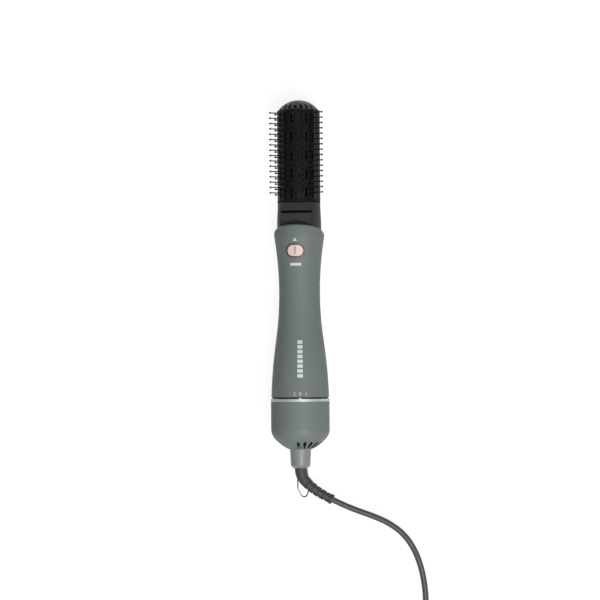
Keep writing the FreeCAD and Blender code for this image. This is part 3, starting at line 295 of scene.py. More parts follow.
def geometry_tree(name, inputs):
    """An empty Geometry Nodes tree with named inputs, given as (name, kind, value)."""
    tree = bpy.data.node_groups.new(name, "GeometryNodeTree")
    tree.interface.new_socket("Geometry", in_out="INPUT", socket_type="NodeSocketGeometry")
    for label, kind, value in inputs:
        made = tree.interface.new_socket(label, in_out="INPUT", socket_type="NodeSocket" + kind)
        if value is not None:
            made.default_value = value
    tree.interface.new_socket("Geometry", in_out="OUTPUT", socket_type="NodeSocketGeometry")
    return tree, tree.nodes.new("NodeGroupInput").outputs, tree.nodes.new("NodeGroupOutput").inputs


def finish_tree(tree, geometry, material, gives):
    """Every tree ends the same way: real geometry with its material."""
    real = made(tree, "GeometryNodeRealizeInstances", {"Geometry": geometry})
    done = made(tree, "GeometryNodeSetMaterial", {"Geometry": real, "Material": material})
    tree.links.new(done, gives["Geometry"])


def grow(tree, base=None, **values):
    """The plain mesh that a tree makes from a base mesh, with its inputs set by identifier."""
    carrier = placed("carrier", base or bpy.data.meshes.new("empty"))
    modifier = carrier.modifiers.new("tree", "NODES")
    modifier.node_group = tree
    for item in tree.interface.items_tree:
        if item.in_out == "INPUT" and item.name in values:
            modifier[item.identifier] = values[item.name]
    depsgraph = bpy.context.evaluated_depsgraph_get()
    mesh = bpy.data.meshes.new_from_object(
        carrier.evaluated_get(depsgraph), preserve_all_data_layers=True, depsgraph=depsgraph)
    bpy.data.objects.remove(carrier)
    return mesh


def join_of(tree, *parts):
    join = tree.nodes.new("GeometryNodeJoinGeometry")
    for part in parts:
        tree.links.new(part, join.inputs[0])
    return join.outputs[0]


def vector_of(tree, x=0.0, y=0.0, z=0.0):
    return made(tree, "ShaderNodeCombineXYZ", {"X": x, "Y": y, "Z": z})


def make_bar_tree():
    """Flat bars in a column, as closed films fine enough to follow a curved wall."""
    tree, given, gives = geometry_tree("printed_bars", [
        ("Count", "Int", 8), ("Pitch", "Float", 0.004), ("Width", "Float", 0.004), ("Height", "Float", 0.002),
        ("Film", "Float", FILM), ("Ink", "Material", None)])
    places = made(tree, "GeometryNodeMeshLine", {
        "Count": given["Count"], "Offset": vector_of(tree, y=given["Pitch"])}, mode="OFFSET")
    flat = made(tree, "GeometryNodeMeshGrid", {
        "Size X": given["Width"], "Size Y": given["Height"], "Vertices X": 15, "Vertices Y": 3})
    bars = made(tree, "GeometryNodeInstanceOnPoints", {"Points": places, "Instance": flat})
    sheets = made(tree, "GeometryNodeRealizeInstances", {"Geometry": bars})
    tops = made(tree, "GeometryNodeExtrudeMesh", {
        "Mesh": sheets, "Offset Scale": given["Film"], "Individual": False}, mode="FACES")
    backs = made(tree, "GeometryNodeFlipFaces", {"Mesh": sheets})
    closed = made(tree, "GeometryNodeMergeByDistance", {
        "Geometry": join_of(tree, tops, backs), "Distance": WELD})
    finish_tree(tree, closed, given["Ink"], gives)
    return tree


def wrap(mesh, wall, along, angle, lift=0.00002):
    """Lays a flat mesh round a wall of the tool: its X goes round, its Y along and its Z out of the wall."""
    shape = bmesh.new()
    shape.from_mesh(wall.data)
    target = BVHTree.FromBMesh(shape)
    shape.free()

    def on_wall(turn, along_place):
        outward = up * math.cos(turn) + Vector((math.sin(turn), 0, 0))
        middle = collar_end + axis * along_place
        return target.ray_cast(middle + outward * CLEAR_OF_WALL, -outward)[0], outward, middle

    first_hit, _, first_middle = on_wall(angle, along * MM)
    radius = (first_hit - first_middle).length
    for vertex in mesh.vertices:
        across, on, rise = vertex.co
        hit, outward, _ = on_wall(angle + across / radius, along * MM + on)
        vertex.co = hit + outward * (rise + lift)
    mesh.update()


def figure(text):
    """A generic figure as a closed thin mesh, centred on its own middle."""
    line = bpy.data.curves.new("figure", "FONT")
    line.body = text
    line.size = FIGURE_SIZE
    line.align_x = "CENTER"
    line.align_y = "CENTER"
    line.extrude = FILM / 2
    shape = bmesh.new()
    shape.from_mesh(mesh_of(placed("figure", line)))
    bmesh.ops.remove_doubles(shape, verts=shape.verts, dist=WELD)
    return closed_mesh(shape)


def film_of(outline):
    """A closed thin mesh from an outline in millimetres."""
    shape = bmesh.new()
    low = shape.faces.new([shape.verts.new((x * MM, y * MM, 0)) for x, y in outline])
    raised = bmesh.ops.extrude_face_region(shape, geom=[low])["geom"]
    top = [part for part in raised if isinstance(part, bmesh.types.BMVert)]
    bmesh.ops.translate(shape, vec=(0, 0, FILM), verts=top)
    return closed_mesh(shape)


white_ink = moulded(
    "white_ink", (225, 232, 229), (190, 198, 195), spread=0.04, roughness=0.5, polish=0.06,
    grain_scale=3000.0, bump=0.00001)
front_wall = frame["nodes"]["front_shell"]
bar_tree = make_bar_tree()
DIAL_ANGLE = math.radians(10)
DIAL_STEP = math.radians(11.5)
FIGURES_ALONG = 66.8
BARS_ALONG = 83.0
RULE_ALONG = 182.7
ARROW_ALONG = 204.8
FIGURE_SIZE = 3.0 * MM * 1.4
column = grow(bar_tree, Count=8, Pitch=0.0043, Width=0.005, Height=0.0031, Ink=white_ink)
rule = grow(bar_tree, Count=1, Pitch=0.0, Width=0.0098, Height=0.0024, Ink=white_ink)
arrow = film_of([(-1.9, -1.3), (1.9, -1.3), (0.0, 1.7)])
marks = [
    ("grip_bars", column, BARS_ALONG, DIAL_ANGLE), ("button_rule", rule, RULE_ALONG, 0.0),
    ("release_arrow", arrow, ARROW_ALONG, 0.0)]
for text, step in (("2", -1), ("0", 0), ("1", 1)):
    marks.append(("dial_figure_" + text, figure(text), FIGURES_ALONG, DIAL_ANGLE + DIAL_STEP * step))
for name, mesh, along, angle in marks:
    wrap(mesh, front_wall, along, angle)
    new_piece(name, mesh, "handle", None if mesh.materials else white_ink)


# ---- the joint between the handle shells ----
# The front shell's edge meets the rear one's along each side. The two are snapped, so a fine gap shows as a
# dark line from the dial to the shoulder.

joint_shadow = moulded(
    "joint_shadow", (58, 64, 62), (90, 96, 94), spread=0.08, roughness=0.7, polish=0.05,
    grain_scale=2400.0, bump=0.00001)
JOINT_ANGLE = math.radians(89.5)
JOINT_ALONG = 68.0
JOINT_PIECE = 0.0036
JOINT_PIECES = 37
for name, angle in (("joint_right", JOINT_ANGLE), ("joint_left", -JOINT_ANGLE)):
    line = grow(
        bar_tree, Count=JOINT_PIECES, Pitch=JOINT_PIECE, Width=0.00026, Height=JOINT_PIECE, Film=0.00003,
        Ink=joint_shadow)
    wrap(line, front_wall, JOINT_ALONG, angle, lift=0.0)
    new_piece(name, line, "handle")


# ---- the sloping rim ----
# A separate moulded ring closes the top of the handle and carries the neck. Its colour is a lighter copy of the
# handle's sage, which is painted light on its sloping face.

rim_lit_paint = moulded(
    "rim_lit_paint", (137, 146, 142), (160, 168, 164), wear=(0.0005, 3.0), spread=0.04, roughness=0.46,
    polish=0.1, grain_scale=2600.0, bump=0.00002, Specular_IOR_Level=0.4)
dress(rim_lit_paint, "rim_ring")


# ---- the turning cap and its silver ring ----
# The cap is the heat and speed switch: it turns on the inner frame and clicks at three places. A polished
# metal ring is pressed on its mouth, and a woven filter behind its slots keeps hair out of the fan.

def make_worked_metal():
    """Colour, roughness and height of worked metal: fine lines across the stretch, stains and rubs."""
    group, given, gives = shader_group(
        "worked_metal",
        [("Color", "Color", (0.6, 0.6, 0.6, 1)), ("Stain Color", "Color", (0.3, 0.3, 0.3, 1)),
         ("Stain", "Float", 0.25), ("Stretch", "Vector", (40.0, 3000.0, 40.0)), ("Lines", "Float", 0.12),
         ("Roughness", "Float", 0.3), ("Wear And Shade", "Float", 0.0)],
        [("Color", "Color"), ("Roughness", "Float"), ("Height", "Float")])
    place = object_place(group)
    drawn = made(group, "ShaderNodeMapping", {0: place, "Scale": given["Stretch"]})
    lines = noise(group, drawn, 1.0, 3.0)
    cloud = noise(group, place, 120.0, 5.0, Roughness=0.65, Distortion=0.6)
    stained = ramp(group, cloud, 0.45, 0.75)
    share = times(group, stained, given["Stain"], clamp=True)
    toned = mixed(group, share, given["Color"], given["Stain Color"])
    value = plus(group, 1.0, times(
        group, minus(group, lines, 0.5), given["Lines"]))
    shaded = made(group, "ShaderNodeHueSaturation", {"Color": toned, "Value": value})
    group.links.new(shaded, gives["Color"])
    rough = plus(group, given["Roughness"], times(
        group, minus(group, lines, 0.5), given["Lines"]))
    rough = plus(group, rough, times(group, share, 0.3))
    rough = minus(group, rough, times(group, given["Wear And Shade"], 0.1), clamp=True)
    group.links.new(rough, gives["Roughness"])
    group.links.new(lines, gives["Height"])
    return group


def make_bare_and_shaded_walls():
    """Faces that turn round the tool's axis, such as the sides of slots: bare of paint, and darkened as painted
    shade.
    """
    group, given, gives = shader_group(
        "bare_and_shaded_walls", [("Centre", "Vector", (0, 0, 0)), ("Axis", "Vector", (0, 1, 0))],
        [("Mask", "Float")])
    place = object_place(group)
    arm = vector_math(group, "SUBTRACT", place, given["Centre"])
    round_way = vector_math(group, "NORMALIZE", vector_math(group, "CROSS_PRODUCT", given["Axis"], arm))
    outward = add_node(group, "ShaderNodeNewGeometry").outputs["Normal"]
    facing = math_of(group, "ABSOLUTE", vector_math(group, "DOT_PRODUCT", outward, round_way))
    group.links.new(ramp(group, facing, 0.35, 0.5), gives["Mask"])
    return group


worked_metal = make_worked_metal()
bare_and_shaded_walls = make_bare_and_shaded_walls()


def metal(name, colour, stained, stain, stretch, lines, roughness, metallic=1.0, **more):
    """A worked metal finish, with its colours on the scale of 0 to 255."""
    return surface(name, worked_metal, {
        "Color": tone(*colour), "Stain Color": tone(*stained), "Stain": stain, "Stretch": stretch,
        "Lines": lines, "Roughness": roughness}, Metallic=metallic, **more)


# The cap's second colour, near black, goes on the slot sides through the skin's input for rubbed edges: painted
# shade inside the slots, over bare plastic.
cap_paint = moulded(
    "cap_paint", SAGE, (20, 22, 22), spread=0.05, roughness=0.52, polish=0.1, grain_scale=2400.0,
    bump=0.00003, Specular_IOR_Level=0.32)
walls = add_node(
    cap_paint.node_tree, "ShaderNodeGroup", {"Centre": collar_end, "Axis": axis}, node_tree=bare_and_shaded_walls)
cap_skin = next(
    node for node in cap_paint.node_tree.nodes if getattr(node, "node_tree", None) == moulded_skin)
cap_paint.node_tree.links.new(walls.outputs["Mask"], cap_skin.inputs["Wear And Shade"])
dress(cap_paint, "selector_cap")
silver = metal(
    "silver_trim", (214, 215, 215), (170, 170, 170), stain=0.12, stretch=(60.0, 5200.0, 60.0), lines=0.1,
    roughness=0.55, wear=(0.0003, 2.0), bump=0.000006, metallic=0.55)
dress(silver, "selector_ring")
filter_cloth = moulded(
    "filter_mesh", (22, 22, 23), (60, 62, 60), wear=(0.0002, 2.0), spread=0.12, roughness=0.7,
    polish=0.05, grain_scale=4200.0, grain=1.6, bump=0.00008)
dress(filter_cloth, "inlet_filter")


# ---- the inner frame and its plastic mouldings ----
# Glass-filled nylon, as it comes from the mould: matt, dark grey, with pale glass clouds and sharp ribs. It
# holds the fan, the switch and the socket in which the cord's collar turns.

inner_plastic = moulded(
    "inner_plastic", (52, 53, 55), (88, 89, 90), wear=(0.0004, 4.0), spread=0.1, roughness=0.58,
    polish=0.08, grain_scale=1500.0, grain=1.4, bump=0.00005)
dress(
    inner_plastic, "inner_frame", "fan_housing", "fan_impeller", "swivel_socket", "switch_cam",
    "latch_bracket", "motor_end_cap")
switch_plastic = moulded(
    "switch_plastic", (28, 28, 30), (66, 66, 66), wear=(0.0003, 3.0), spread=0.06, roughness=0.42,
    polish=0.1, grain_scale=2600.0, bump=0.00002)
dress(switch_plastic, "switch_body")


# ---- the motor ----
# A drawn and plated steel can, a ground shaft and a laminated armature whose stack shows as fine rings.

motor_steel = metal(
    "motor_steel", (176, 178, 180), (120, 116, 108), stain=0.35, stretch=(500.0, 90.0, 500.0), lines=0.2,
    roughness=0.34, wear=(0.0004, 3.0), bump=0.00001)
dress(motor_steel, "motor_can", "thermal_cutout")
ground_steel = metal(
    "ground_steel", (190, 192, 194), (140, 132, 120), stain=0.2, stretch=(60.0, 6000.0, 60.0), lines=0.14,
    roughness=0.22, wear=(0.0002, 3.0), bump=0.000005)
dress(ground_steel, "motor_shaft", "latch_pin")
laminations = metal(
    "laminations", (132, 128, 122), (92, 66, 46), stain=0.5, stretch=(20.0, 2200.0, 20.0), lines=0.6,
    roughness=0.42, bump=0.00012)
dress(laminations, "armature")


# ---- the heater ----
# A sleeve and two crossed boards of mica, pressed from flakes in resin, carry a wound wire of heating alloy.
# A bimetal cutout sits in the air behind them.

def make_flake_skin():
    """Pressed mica: flakes of slightly different tone, with bright edges where a flake catches the light."""
    group, given, gives = shader_group(
        "flake_skin",
        [("Color", "Color", (0.5, 0.45, 0.3, 1)), ("Edge Color", "Color", (0.7, 0.65, 0.5, 1)),
         ("Flake", "Float", 700.0), ("Roughness", "Float", 0.45)],
        [("Color", "Color"), ("Roughness", "Float"), ("Height", "Float")])
    place = object_place(group)
    flakes = add_node(group, "ShaderNodeTexVoronoi", {"Vector": place, "Scale": given["Flake"]}).outputs
    tint = made(group, "ShaderNodeSeparateColor", {0: flakes["Color"]})
    rims = add_node(group, "ShaderNodeTexVoronoi", {
        "Vector": place, "Scale": given["Flake"]}, feature="DISTANCE_TO_EDGE").outputs["Distance"]
    rim = ramp(group, rims, 0.06, 0.0)
    value = plus(group, 0.8, times(group, tint, 0.4))
    shaded = made(group, "ShaderNodeHueSaturation", {"Color": given["Color"], "Value": value})
    group.links.new(mixed(group, times(group, rim, 0.5), shaded, given["Edge Color"]), gives["Color"])
    rough = plus(group, given["Roughness"], times(
        group, minus(group, tint, 0.5), 0.25), clamp=True)
    group.links.new(rough, gives["Roughness"])
    group.links.new(tint, gives["Height"])
    return group


mica = surface("mica", make_flake_skin(), {
    "Color": tone(186, 172, 138), "Edge Color": tone(220, 210, 182), "Flake": 650.0, "Roughness": 0.42},
    bump=0.00005)
dress(mica, "heater_sleeve", "heater_board_a", "heater_board_b")
heating_alloy = metal(
    "heating_alloy", (150, 142, 134), (78, 66, 72), stain=0.6, stretch=(900.0, 900.0, 900.0), lines=0.3,
    roughness=0.38, bump=0.00001)


def make_winding_tree():
    """A wire wound on a spool of constant radius, as a closed tube."""
    tree, given, gives = geometry_tree("wound_wire", [
        ("Turns", "Float", 24.0), ("Radius", "Float", 0.012), ("Length", "Float", 0.03),
        ("Wire", "Float", 0.0005), ("Metal", "Material", None)])
    line = made(tree, "GeometryNodeCurveSpiral", {
        "Resolution": 40, "Rotations": given["Turns"], "Start Radius": given["Radius"],
        "End Radius": given["Radius"], "Height": given["Length"]})
    section = made(tree, "GeometryNodeCurvePrimitiveCircle", {
        "Resolution": 6, "Radius": times(tree, given["Wire"], 0.5)})
    tube = made(tree, "GeometryNodeCurveToMesh", {
        "Curve": line, "Profile Curve": section, "Fill Caps": True})
    finish_tree(tree, tube, given["Metal"], gives)
    return tree


SPOOL_MARGIN = 0.0009
spool_low, spool_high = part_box("heating_coil")
winding = grow(
    make_winding_tree(), Turns=26.0, Radius=0.0126, Length=spool_high.y - spool_low.y - 2 * SPOOL_MARGIN,
    Wire=0.0008, Metal=heating_alloy)
spool_start = collar_end + axis * ((spool_low.y + SPOOL_MARGIN - collar_end.y) / axis.y)
onto_axis = Vector((0, 0, 1)).rotation_difference(axis).to_matrix().to_4x4()
winding.transform(Matrix.Translation(spool_start) @ onto_axis)
wound = new_piece("heating_winding", winding, "handle")
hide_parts("heating_coil")


# ---- the circuit board ----
# A small fibreglass board under green lacquer, with tinned tracks that run along it.

def make_board_skin():
    """Green lacquer over tracks: the tracks are bands that stand a little proud and look paler."""
    group, given, gives = shader_group(
        "board_skin",
        [("Color", "Color", (0.02, 0.1, 0.04, 1)), ("Track Color", "Color", (0.1, 0.3, 0.1, 1)),
         ("Pitch", "Float", 420.0), ("Roughness", "Float", 0.35)],
        [("Color", "Color"), ("Roughness", "Float"), ("Height", "Float")])
    place = object_place(group)
    bent = noise(group, place, 160.0, 1.0)
    bands = add_node(group, "ShaderNodeTexWave", {
        "Vector": place, "Scale": given["Pitch"], "Distortion": times(group, bent, 3.0)},
        bands_direction="X", wave_profile="SIN").outputs["Fac"]
    track = ramp(group, bands, 0.5, 0.6)
    group.links.new(mixed(group, track, given["Color"], given["Track Color"]), gives["Color"])
    group.links.new(minus(group, given["Roughness"], times(group, track, 0.08)), gives["Roughness"])
    group.links.new(track, gives["Height"])
    return group


lacquered_board = surface("lacquered_board", make_board_skin(), {
    "Color": tone(26, 82, 50), "Track Color": tone(70, 130, 84), "Pitch": 120.0, "Roughness": 0.36},
    bump=0.00004)
dress(lacquered_board, "circuit_board")


# ---- the release button and its bezel ----
# The button is moulded and coated in pale rose gold; the bezel round it is a darker rose, partly its own colour
# and partly painted shade round the button. Pressed, it tips a sprung steel lever that lets the brush head out.

rose_gold = moulded(
    "rose_gold", (243, 224, 214), (216, 184, 168), wear=(0.0004, 4.0), spread=0.05, roughness=0.48,
    polish=0.08, grain_scale=3600.0, bump=0.00001, Specular_IOR_Level=0.4)
dress(rose_gold, "button_cap")
rose_gold_dark = metal(
    "rose_gold_dark", (118, 100, 92), (90, 74, 67), stain=0.4, stretch=(900.0, 900.0, 900.0), lines=0.12,
    roughness=0.48, wear=(0.0003, 3.0), bump=0.00001, metallic=0.15)
dress(rose_gold_dark, "button_bezel")
# A darker rose line down the middle of the button, as a thin film on it.
button_line_tone = moulded(
    "button_line_tone", (186, 152, 138), (214, 186, 172), spread=0.05, roughness=0.4, polish=0.06,
    grain_scale=3000.0, bump=0.00001, Metallic=0.3)
BUTTON_ALONG = 194.9
button_line = grow(bar_tree, Count=1, Pitch=0.0, Width=0.0011, Height=0.0062, Ink=button_line_tone)
wrap(button_line, frame["nodes"]["button_cap"], BUTTON_ALONG, 0.0)
new_piece("button_line", button_line, "release_button")
spring_steel = metal(
    "spring_steel", (150, 152, 156), (92, 86, 84), stain=0.4, stretch=(1800.0, 120.0, 1800.0), lines=0.18,
    roughness=0.32, wear=(0.0002, 3.0), bump=0.00001)
dress(spring_steel, "latch_lever", "tie_rod")


# ---- the neck of the brush head ----
# A duct moulded in heat-proof nylon, with a dark gloss panel let into its flat front; the panel's green tint is
# painted reflection. Air also leaves through a cross slot with a black grille on a near-black plate of painted
# shade, and a thin black ring of painted shade marks the groove where the neck meets the barrel.

neck_plastic = moulded(
    "neck_plastic", (49, 49, 49), (80, 80, 80), wear=(0.0005, 3.0), spread=0.07, roughness=0.54,
    polish=0.12, grain_scale=2200.0, bump=0.00004, Specular_IOR_Level=0.35)
dress(neck_plastic, "head_neck")
# The panel's colours carry a green tint: painted reflection of the sage handle on its gloss face.
panel_plastic = moulded(
    "panel_plastic", (54, 60, 59), (96, 102, 100), wear=(0.0003, 3.0), spread=0.05, roughness=0.36,
    polish=0.1, grain_scale=3200.0, bump=0.00001)
dress(panel_plastic, "front_panel")
# Near black with little shine: the grille's own colour, and painted shade in the slot behind it, at the neck's
# groove and in the tip's dark strips.
grille_and_shade_black = moulded(
    "grille_and_shade_black", (6, 6, 6), (30, 30, 30), spread=0.06, roughness=0.85, polish=0.05, grain_scale=2600.0,
    bump=0.00004, Specular_IOR_Level=0.1)


def make_grille_tree():
    """Round slats in a row on a thin back plate; the near-black plate closes the slot as painted shade."""
    tree, given, gives = geometry_tree("slot_grille", [
        ("Count", "Int", 18), ("Width", "Float", 0.027), ("Height", "Float", 0.0022),
        ("Depth", "Float", 0.0006), ("Black", "Material", None)])
    half = times(tree, given["Width"], -0.48)
    pitch = math_of(tree, "DIVIDE", times(tree, given["Width"], 0.96), minus(
        tree, given["Count"], 1.0))
    places = made(tree, "GeometryNodeMeshLine", {
        "Count": given["Count"], "Start Location": vector_of(tree, x=half),
        "Offset": vector_of(tree, x=pitch)}, mode="OFFSET")
    slat = made(tree, "GeometryNodeMeshCylinder", {
        "Vertices": 10, "Radius": given["Depth"], "Depth": given["Height"]})
    slats = made(tree, "GeometryNodeInstanceOnPoints", {
        "Points": places, "Instance": slat, "Rotation": (math.pi / 2, 0.0, 0.0)})
    plate = made(tree, "GeometryNodeMeshCube", {
        "Size": vector_of(tree, given["Width"], given["Height"], given["Depth"]), "Vertices X": 12})
    finish_tree(tree, join_of(tree, slats, plate), given["Black"], gives)
    return tree


tool_frame = Matrix(((1, 0, 0, 0), (0, axis.y, up.y, 0), (0, axis.z, up.z, 0), (0, 0, 0, 1)))
SLOT_ALONG = 230.25
SLOT_RISE = 12.2
GROOVE_SHADE_ALONG = 238.9
grille = grow(make_grille_tree(), Count=20, Width=0.0282, Height=0.0021, Depth=0.0006, Black=grille_and_shade_black)
grille.transform(Matrix.Translation(on_tool(0, SLOT_ALONG, SLOT_RISE)) @ tool_frame)
outlet = new_piece("outlet_grille", grille, "brush_head")


def make_groove_shade_tree():
    """A round-edged band bent into a ring, for the painted shade of the groove between neck and barrel."""
    tree, given, gives = geometry_tree("neck_groove_shade", [
        ("Radius", "Float", 0.019), ("Width", "Float", 0.0007), ("Thick", "Float", 0.0004),
        ("Rubber", "Material", None)])
    circle = made(tree, "GeometryNodeCurvePrimitiveCircle", {
        "Resolution": 120, "Radius": given["Radius"]})
    band = made(tree, "GeometryNodeCurvePrimitiveQuadrilateral", {
        "Width": given["Thick"], "Height": given["Width"]})
    rounded = made(tree, "GeometryNodeFilletCurve", {
        "Curve": band, "Count": 3, "Radius": times(tree, given["Thick"], 0.35)}, mode="POLY")
    ring = made(tree, "GeometryNodeCurveToMesh", {"Curve": circle, "Profile Curve": rounded})
    finish_tree(tree, ring, given["Rubber"], gives)
    return tree


# A near-black ring where the neck meets the barrel: painted shade of the groove between them.
groove_shade = grow(make_groove_shade_tree(), Radius=0.01915, Width=0.0008, Thick=0.0005, Rubber=grille_and_shade_black)
groove_shade.transform(Matrix.Translation(on_tool(0, GROOVE_SHADE_ALONG, 0)) @ onto_axis)
neck_groove_shade = new_piece("neck_groove_shade", groove_shade, "brush_head")


# ---- the barrel and its bristles ----
# Two half plates of black nylon under a soft-touch coat. Seven nylon strips slide in behind the slots of the
# front one, each with ball-ended bristles, and a rod draws the dark tip down on the whole stack.

barrel_plastic = moulded(
    "barrel_plastic", (25, 25, 25), (56, 56, 56), wear=(0.0004, 2.5), spread=0.08, roughness=0.6,
    polish=0.08, grain_scale=1900.0, bump=0.000015, Specular_IOR_Level=0.15)
dress(barrel_plastic, "barrel_front", "barrel_back")
ROWS = 7
bristle_nylon = moulded(
    "bristle_nylon", (13, 13, 13), (46, 46, 46), wear=(0.0002, 1.2), spread=0.1, roughness=0.5,
    polish=0.1, grain_scale=3600.0, bump=0.00002, Specular_IOR_Level=0.3)
dress(bristle_nylon, *["bristle_row_%d" % (row + 1) for row in range(ROWS)])
tip_plastic = moulded(
    "tip_plastic", (77, 77, 78), (112, 112, 112), wear=(0.0005, 2.0), spread=0.06, roughness=0.46,
    polish=0.12, grain_scale=2400.0, bump=0.00003)
dress(tip_plastic, "tip_cap")
tip_wall = frame["nodes"]["tip_cap"]
# Dark strips on the tip's dome, laid where the shade in its grooves falls: painted shade.
FLUTE_SHADE_ALONG = 325.4
FLUTE_SHADE_STEP = 18
for row in range(ROWS):
    side = row - ROWS // 2
    length = 0.0052 - 0.0006 * abs(side)
    flute_shade = grow(bar_tree, Count=1, Pitch=0.0, Width=0.0021, Height=length, Ink=grille_and_shade_black)
    wrap(flute_shade, tip_wall, FLUTE_SHADE_ALONG - 0.35 * abs(side), math.radians(FLUTE_SHADE_STEP * side))
    new_piece("tip_flute_shade_%d" % (row + 1), flute_shade, "brush_head")


# ---- the swivel collar, the hanging loop and the strain relief ----
# The cord turns freely in a grey collar on brass slip rings; the collar's grey is a lighter copy of the
# handle's sage, which is painted light. A bent steel wire loop hangs from the collar, and a tapered rubber boot
# with staggered slots leads the cord out of it.

# A lighter copy of the handle's sage: painted light on the collar.
collar_plastic = moulded(
    "collar_plastic", (142, 148, 146), (172, 178, 176), wear=(0.0005, 3.0), spread=0.06, roughness=0.38,
    polish=0.12, grain_scale=2600.0, bump=0.00002)
dress(collar_plastic, "swivel_collar")
turned_brass = metal(
    "turned_brass", (206, 168, 92), (130, 92, 50), stain=0.4, stretch=(60.0, 7000.0, 60.0), lines=0.2,
    roughness=0.28, wear=(0.0002, 3.0), bump=0.000008)
dress(turned_brass, "slip_rings")
loop_wire = metal(
    "loop_wire", (150, 152, 153), (88, 88, 88), stain=0.4, stretch=(2400.0, 160.0, 2400.0), lines=0.16,
    roughness=0.3, bump=0.000008)
dress(loop_wire, "hanging_loop")
boot_rubber = moulded(
    "boot_rubber", (66, 71, 69), (96, 100, 98), wear=(0.0004, 2.5), spread=0.09, roughness=0.58,
    polish=0.14, grain_scale=1800.0, grain=1.3, bump=0.00005)
TABLE_GAP = 0.0008
RELIEF = [
    (0.0, 0.0, 0.0), (0.0, -6.0, -0.0064), (5.4, -13.8, 0.012), (17.0, -23.3, 0.09), (28.2, -28.9, 0.18)]


def table_points(route, low, high):
    """Places from millimetres right of the axis and back from the collar, and the share of the way down."""
    return [Vector((x * MM, collar_end.y + back * MM, high + (low - high) * drop)) for x, back, drop in route]


def nurbs(name, points, **settings):
    """A curve object on one NURBS spline whose control points are the route."""
    line = bpy.data.curves.new(name, "CURVE")
    line.dimensions = "3D"
    for key, value in settings.items():
        setattr(line, key, value)
    spline = line.splines.new("NURBS")
    spline.points.add(len(points) - 1)
    for point, place in zip(spline.points, points):
        point.co = (*place, 1)
    spline.order_u = 3
    spline.use_endpoint_u = True
    return placed(name, line)


def kept(tree, geometry, kind, value):
    """Keeps a value of the points of a line for after the line has become a mesh."""
    node = tree.nodes.new("GeometryNodeCaptureAttribute")
    node.domain = "POINT"
    node.capture_items.new(kind, "kept")
    tree.links.new(geometry, node.inputs[0])
    tree.links.new(value, node.inputs[1])
    return node.outputs[0], node.outputs[1]


def make_boot_tree():
    """A tapered sleeve along a line, with rings of slots; every ring is turned a quarter from the last."""
    tree, given, gives = geometry_tree("slotted_boot", [
        ("Near Radius", "Float", 0.0054), ("Far Radius", "Float", 0.0042), ("Rings", "Float", 9.0),
        ("First", "Float", 0.34), ("Last", "Float", 0.93), ("Depth", "Float", 0.0009),
        ("Rubber", "Material", None)])
    line = made(tree, "GeometryNodeMeshToCurve", {"Mesh": given["Geometry"]})
    line = made(tree, "GeometryNodeResampleCurve", {"Curve": line, "Count": 360})
    share_here = add_node(tree, "GeometryNodeSplineParameter").outputs["Factor"]
    line, share = kept(tree, line, "FLOAT", share_here)
    line, middle = kept(tree, line, "VECTOR", made(tree, "GeometryNodeInputPosition"))
    circle = made(tree, "GeometryNodeCurvePrimitiveCircle", {"Resolution": 48, "Radius": 0.001})
    share_round = add_node(tree, "GeometryNodeSplineParameter").outputs["Factor"]
    circle, around = kept(tree, circle, "FLOAT", share_round)
    tube = made(tree, "GeometryNodeCurveToMesh", {
        "Curve": line, "Profile Curve": circle, "Fill Caps": True})
    scaled = math_of(tree, "DIVIDE", minus(tree, share, given["First"]), minus(
        tree, given["Last"], given["First"]))
    inside = times(tree, math_of(tree, "GREATER_THAN", scaled, 0.0), math_of(
        tree, "LESS_THAN", scaled, 1.0))
    count = times(tree, scaled, given["Rings"])
    ring = math_of(tree, "FLOOR", count)
    within = math_of(tree, "FRACT", count)
    cut = ramp(tree, math_of(tree, "ABSOLUTE", minus(tree, within, 0.5)), 0.17, 0.12)
    angle = plus(tree, times(tree, around, 2 * math.pi), times(
        tree, ring, math.pi / 2))
    bridge = math_of(tree, "ABSOLUTE", math_of(tree, "COSINE", angle))
    slot_open = ramp(tree, bridge, 0.86, 0.8)
    depth = times(tree, times(tree, cut, slot_open), times(
        tree, inside, given["Depth"]))
    taper = made(tree, "ShaderNodeMapRange", {
        0: share, 1: 0.0, 2: 0.9, 3: given["Near Radius"], 4: given["Far Radius"]})
    bead = times(tree, ramp(tree, share, 0.935, 0.95), 0.0004)
    rounding = times(tree, ramp(tree, share, 0.985, 1.0, "SMOOTHSTEP"), -0.0007)
    radius = plus(tree, minus(tree, taper, depth), plus(tree, bead, rounding))
    here = made(tree, "GeometryNodeInputPosition")
    outward = vector_math(tree, "NORMALIZE", vector_math(tree, "SUBTRACT", here, middle))
    arm = made(tree, "ShaderNodeVectorMath", {0: outward, "Scale": radius}, operation="SCALE")
    place = vector_math(tree, "ADD", middle, arm)
    shaped = made(tree, "GeometryNodeSetPosition", {"Geometry": tube, "Position": place})
    finish_tree(tree, shaped, given["Rubber"], gives)
    return tree


CORD_THICK = 0.0054
layer = CORD_THICK / 2 + TABLE_GAP
relief_line = nurbs("route", table_points(RELIEF, layer, collar_end.z), resolution_u=24)
boot = grow(make_boot_tree(), mesh_of(relief_line), Rubber=boot_rubber)
boot_piece = new_piece("strain_boot", boot, "cord_swivel")
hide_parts("strain_relief")


# ---- the mains cord ----
# 1.8 m of round two-core cable, 5.4 mm thick, in a matt PVC jacket. It leaves the rubber boot of the swivel,
# curves down to the table and on to a neat tied coil, and ends in its plug. The coil is wound clockwise.

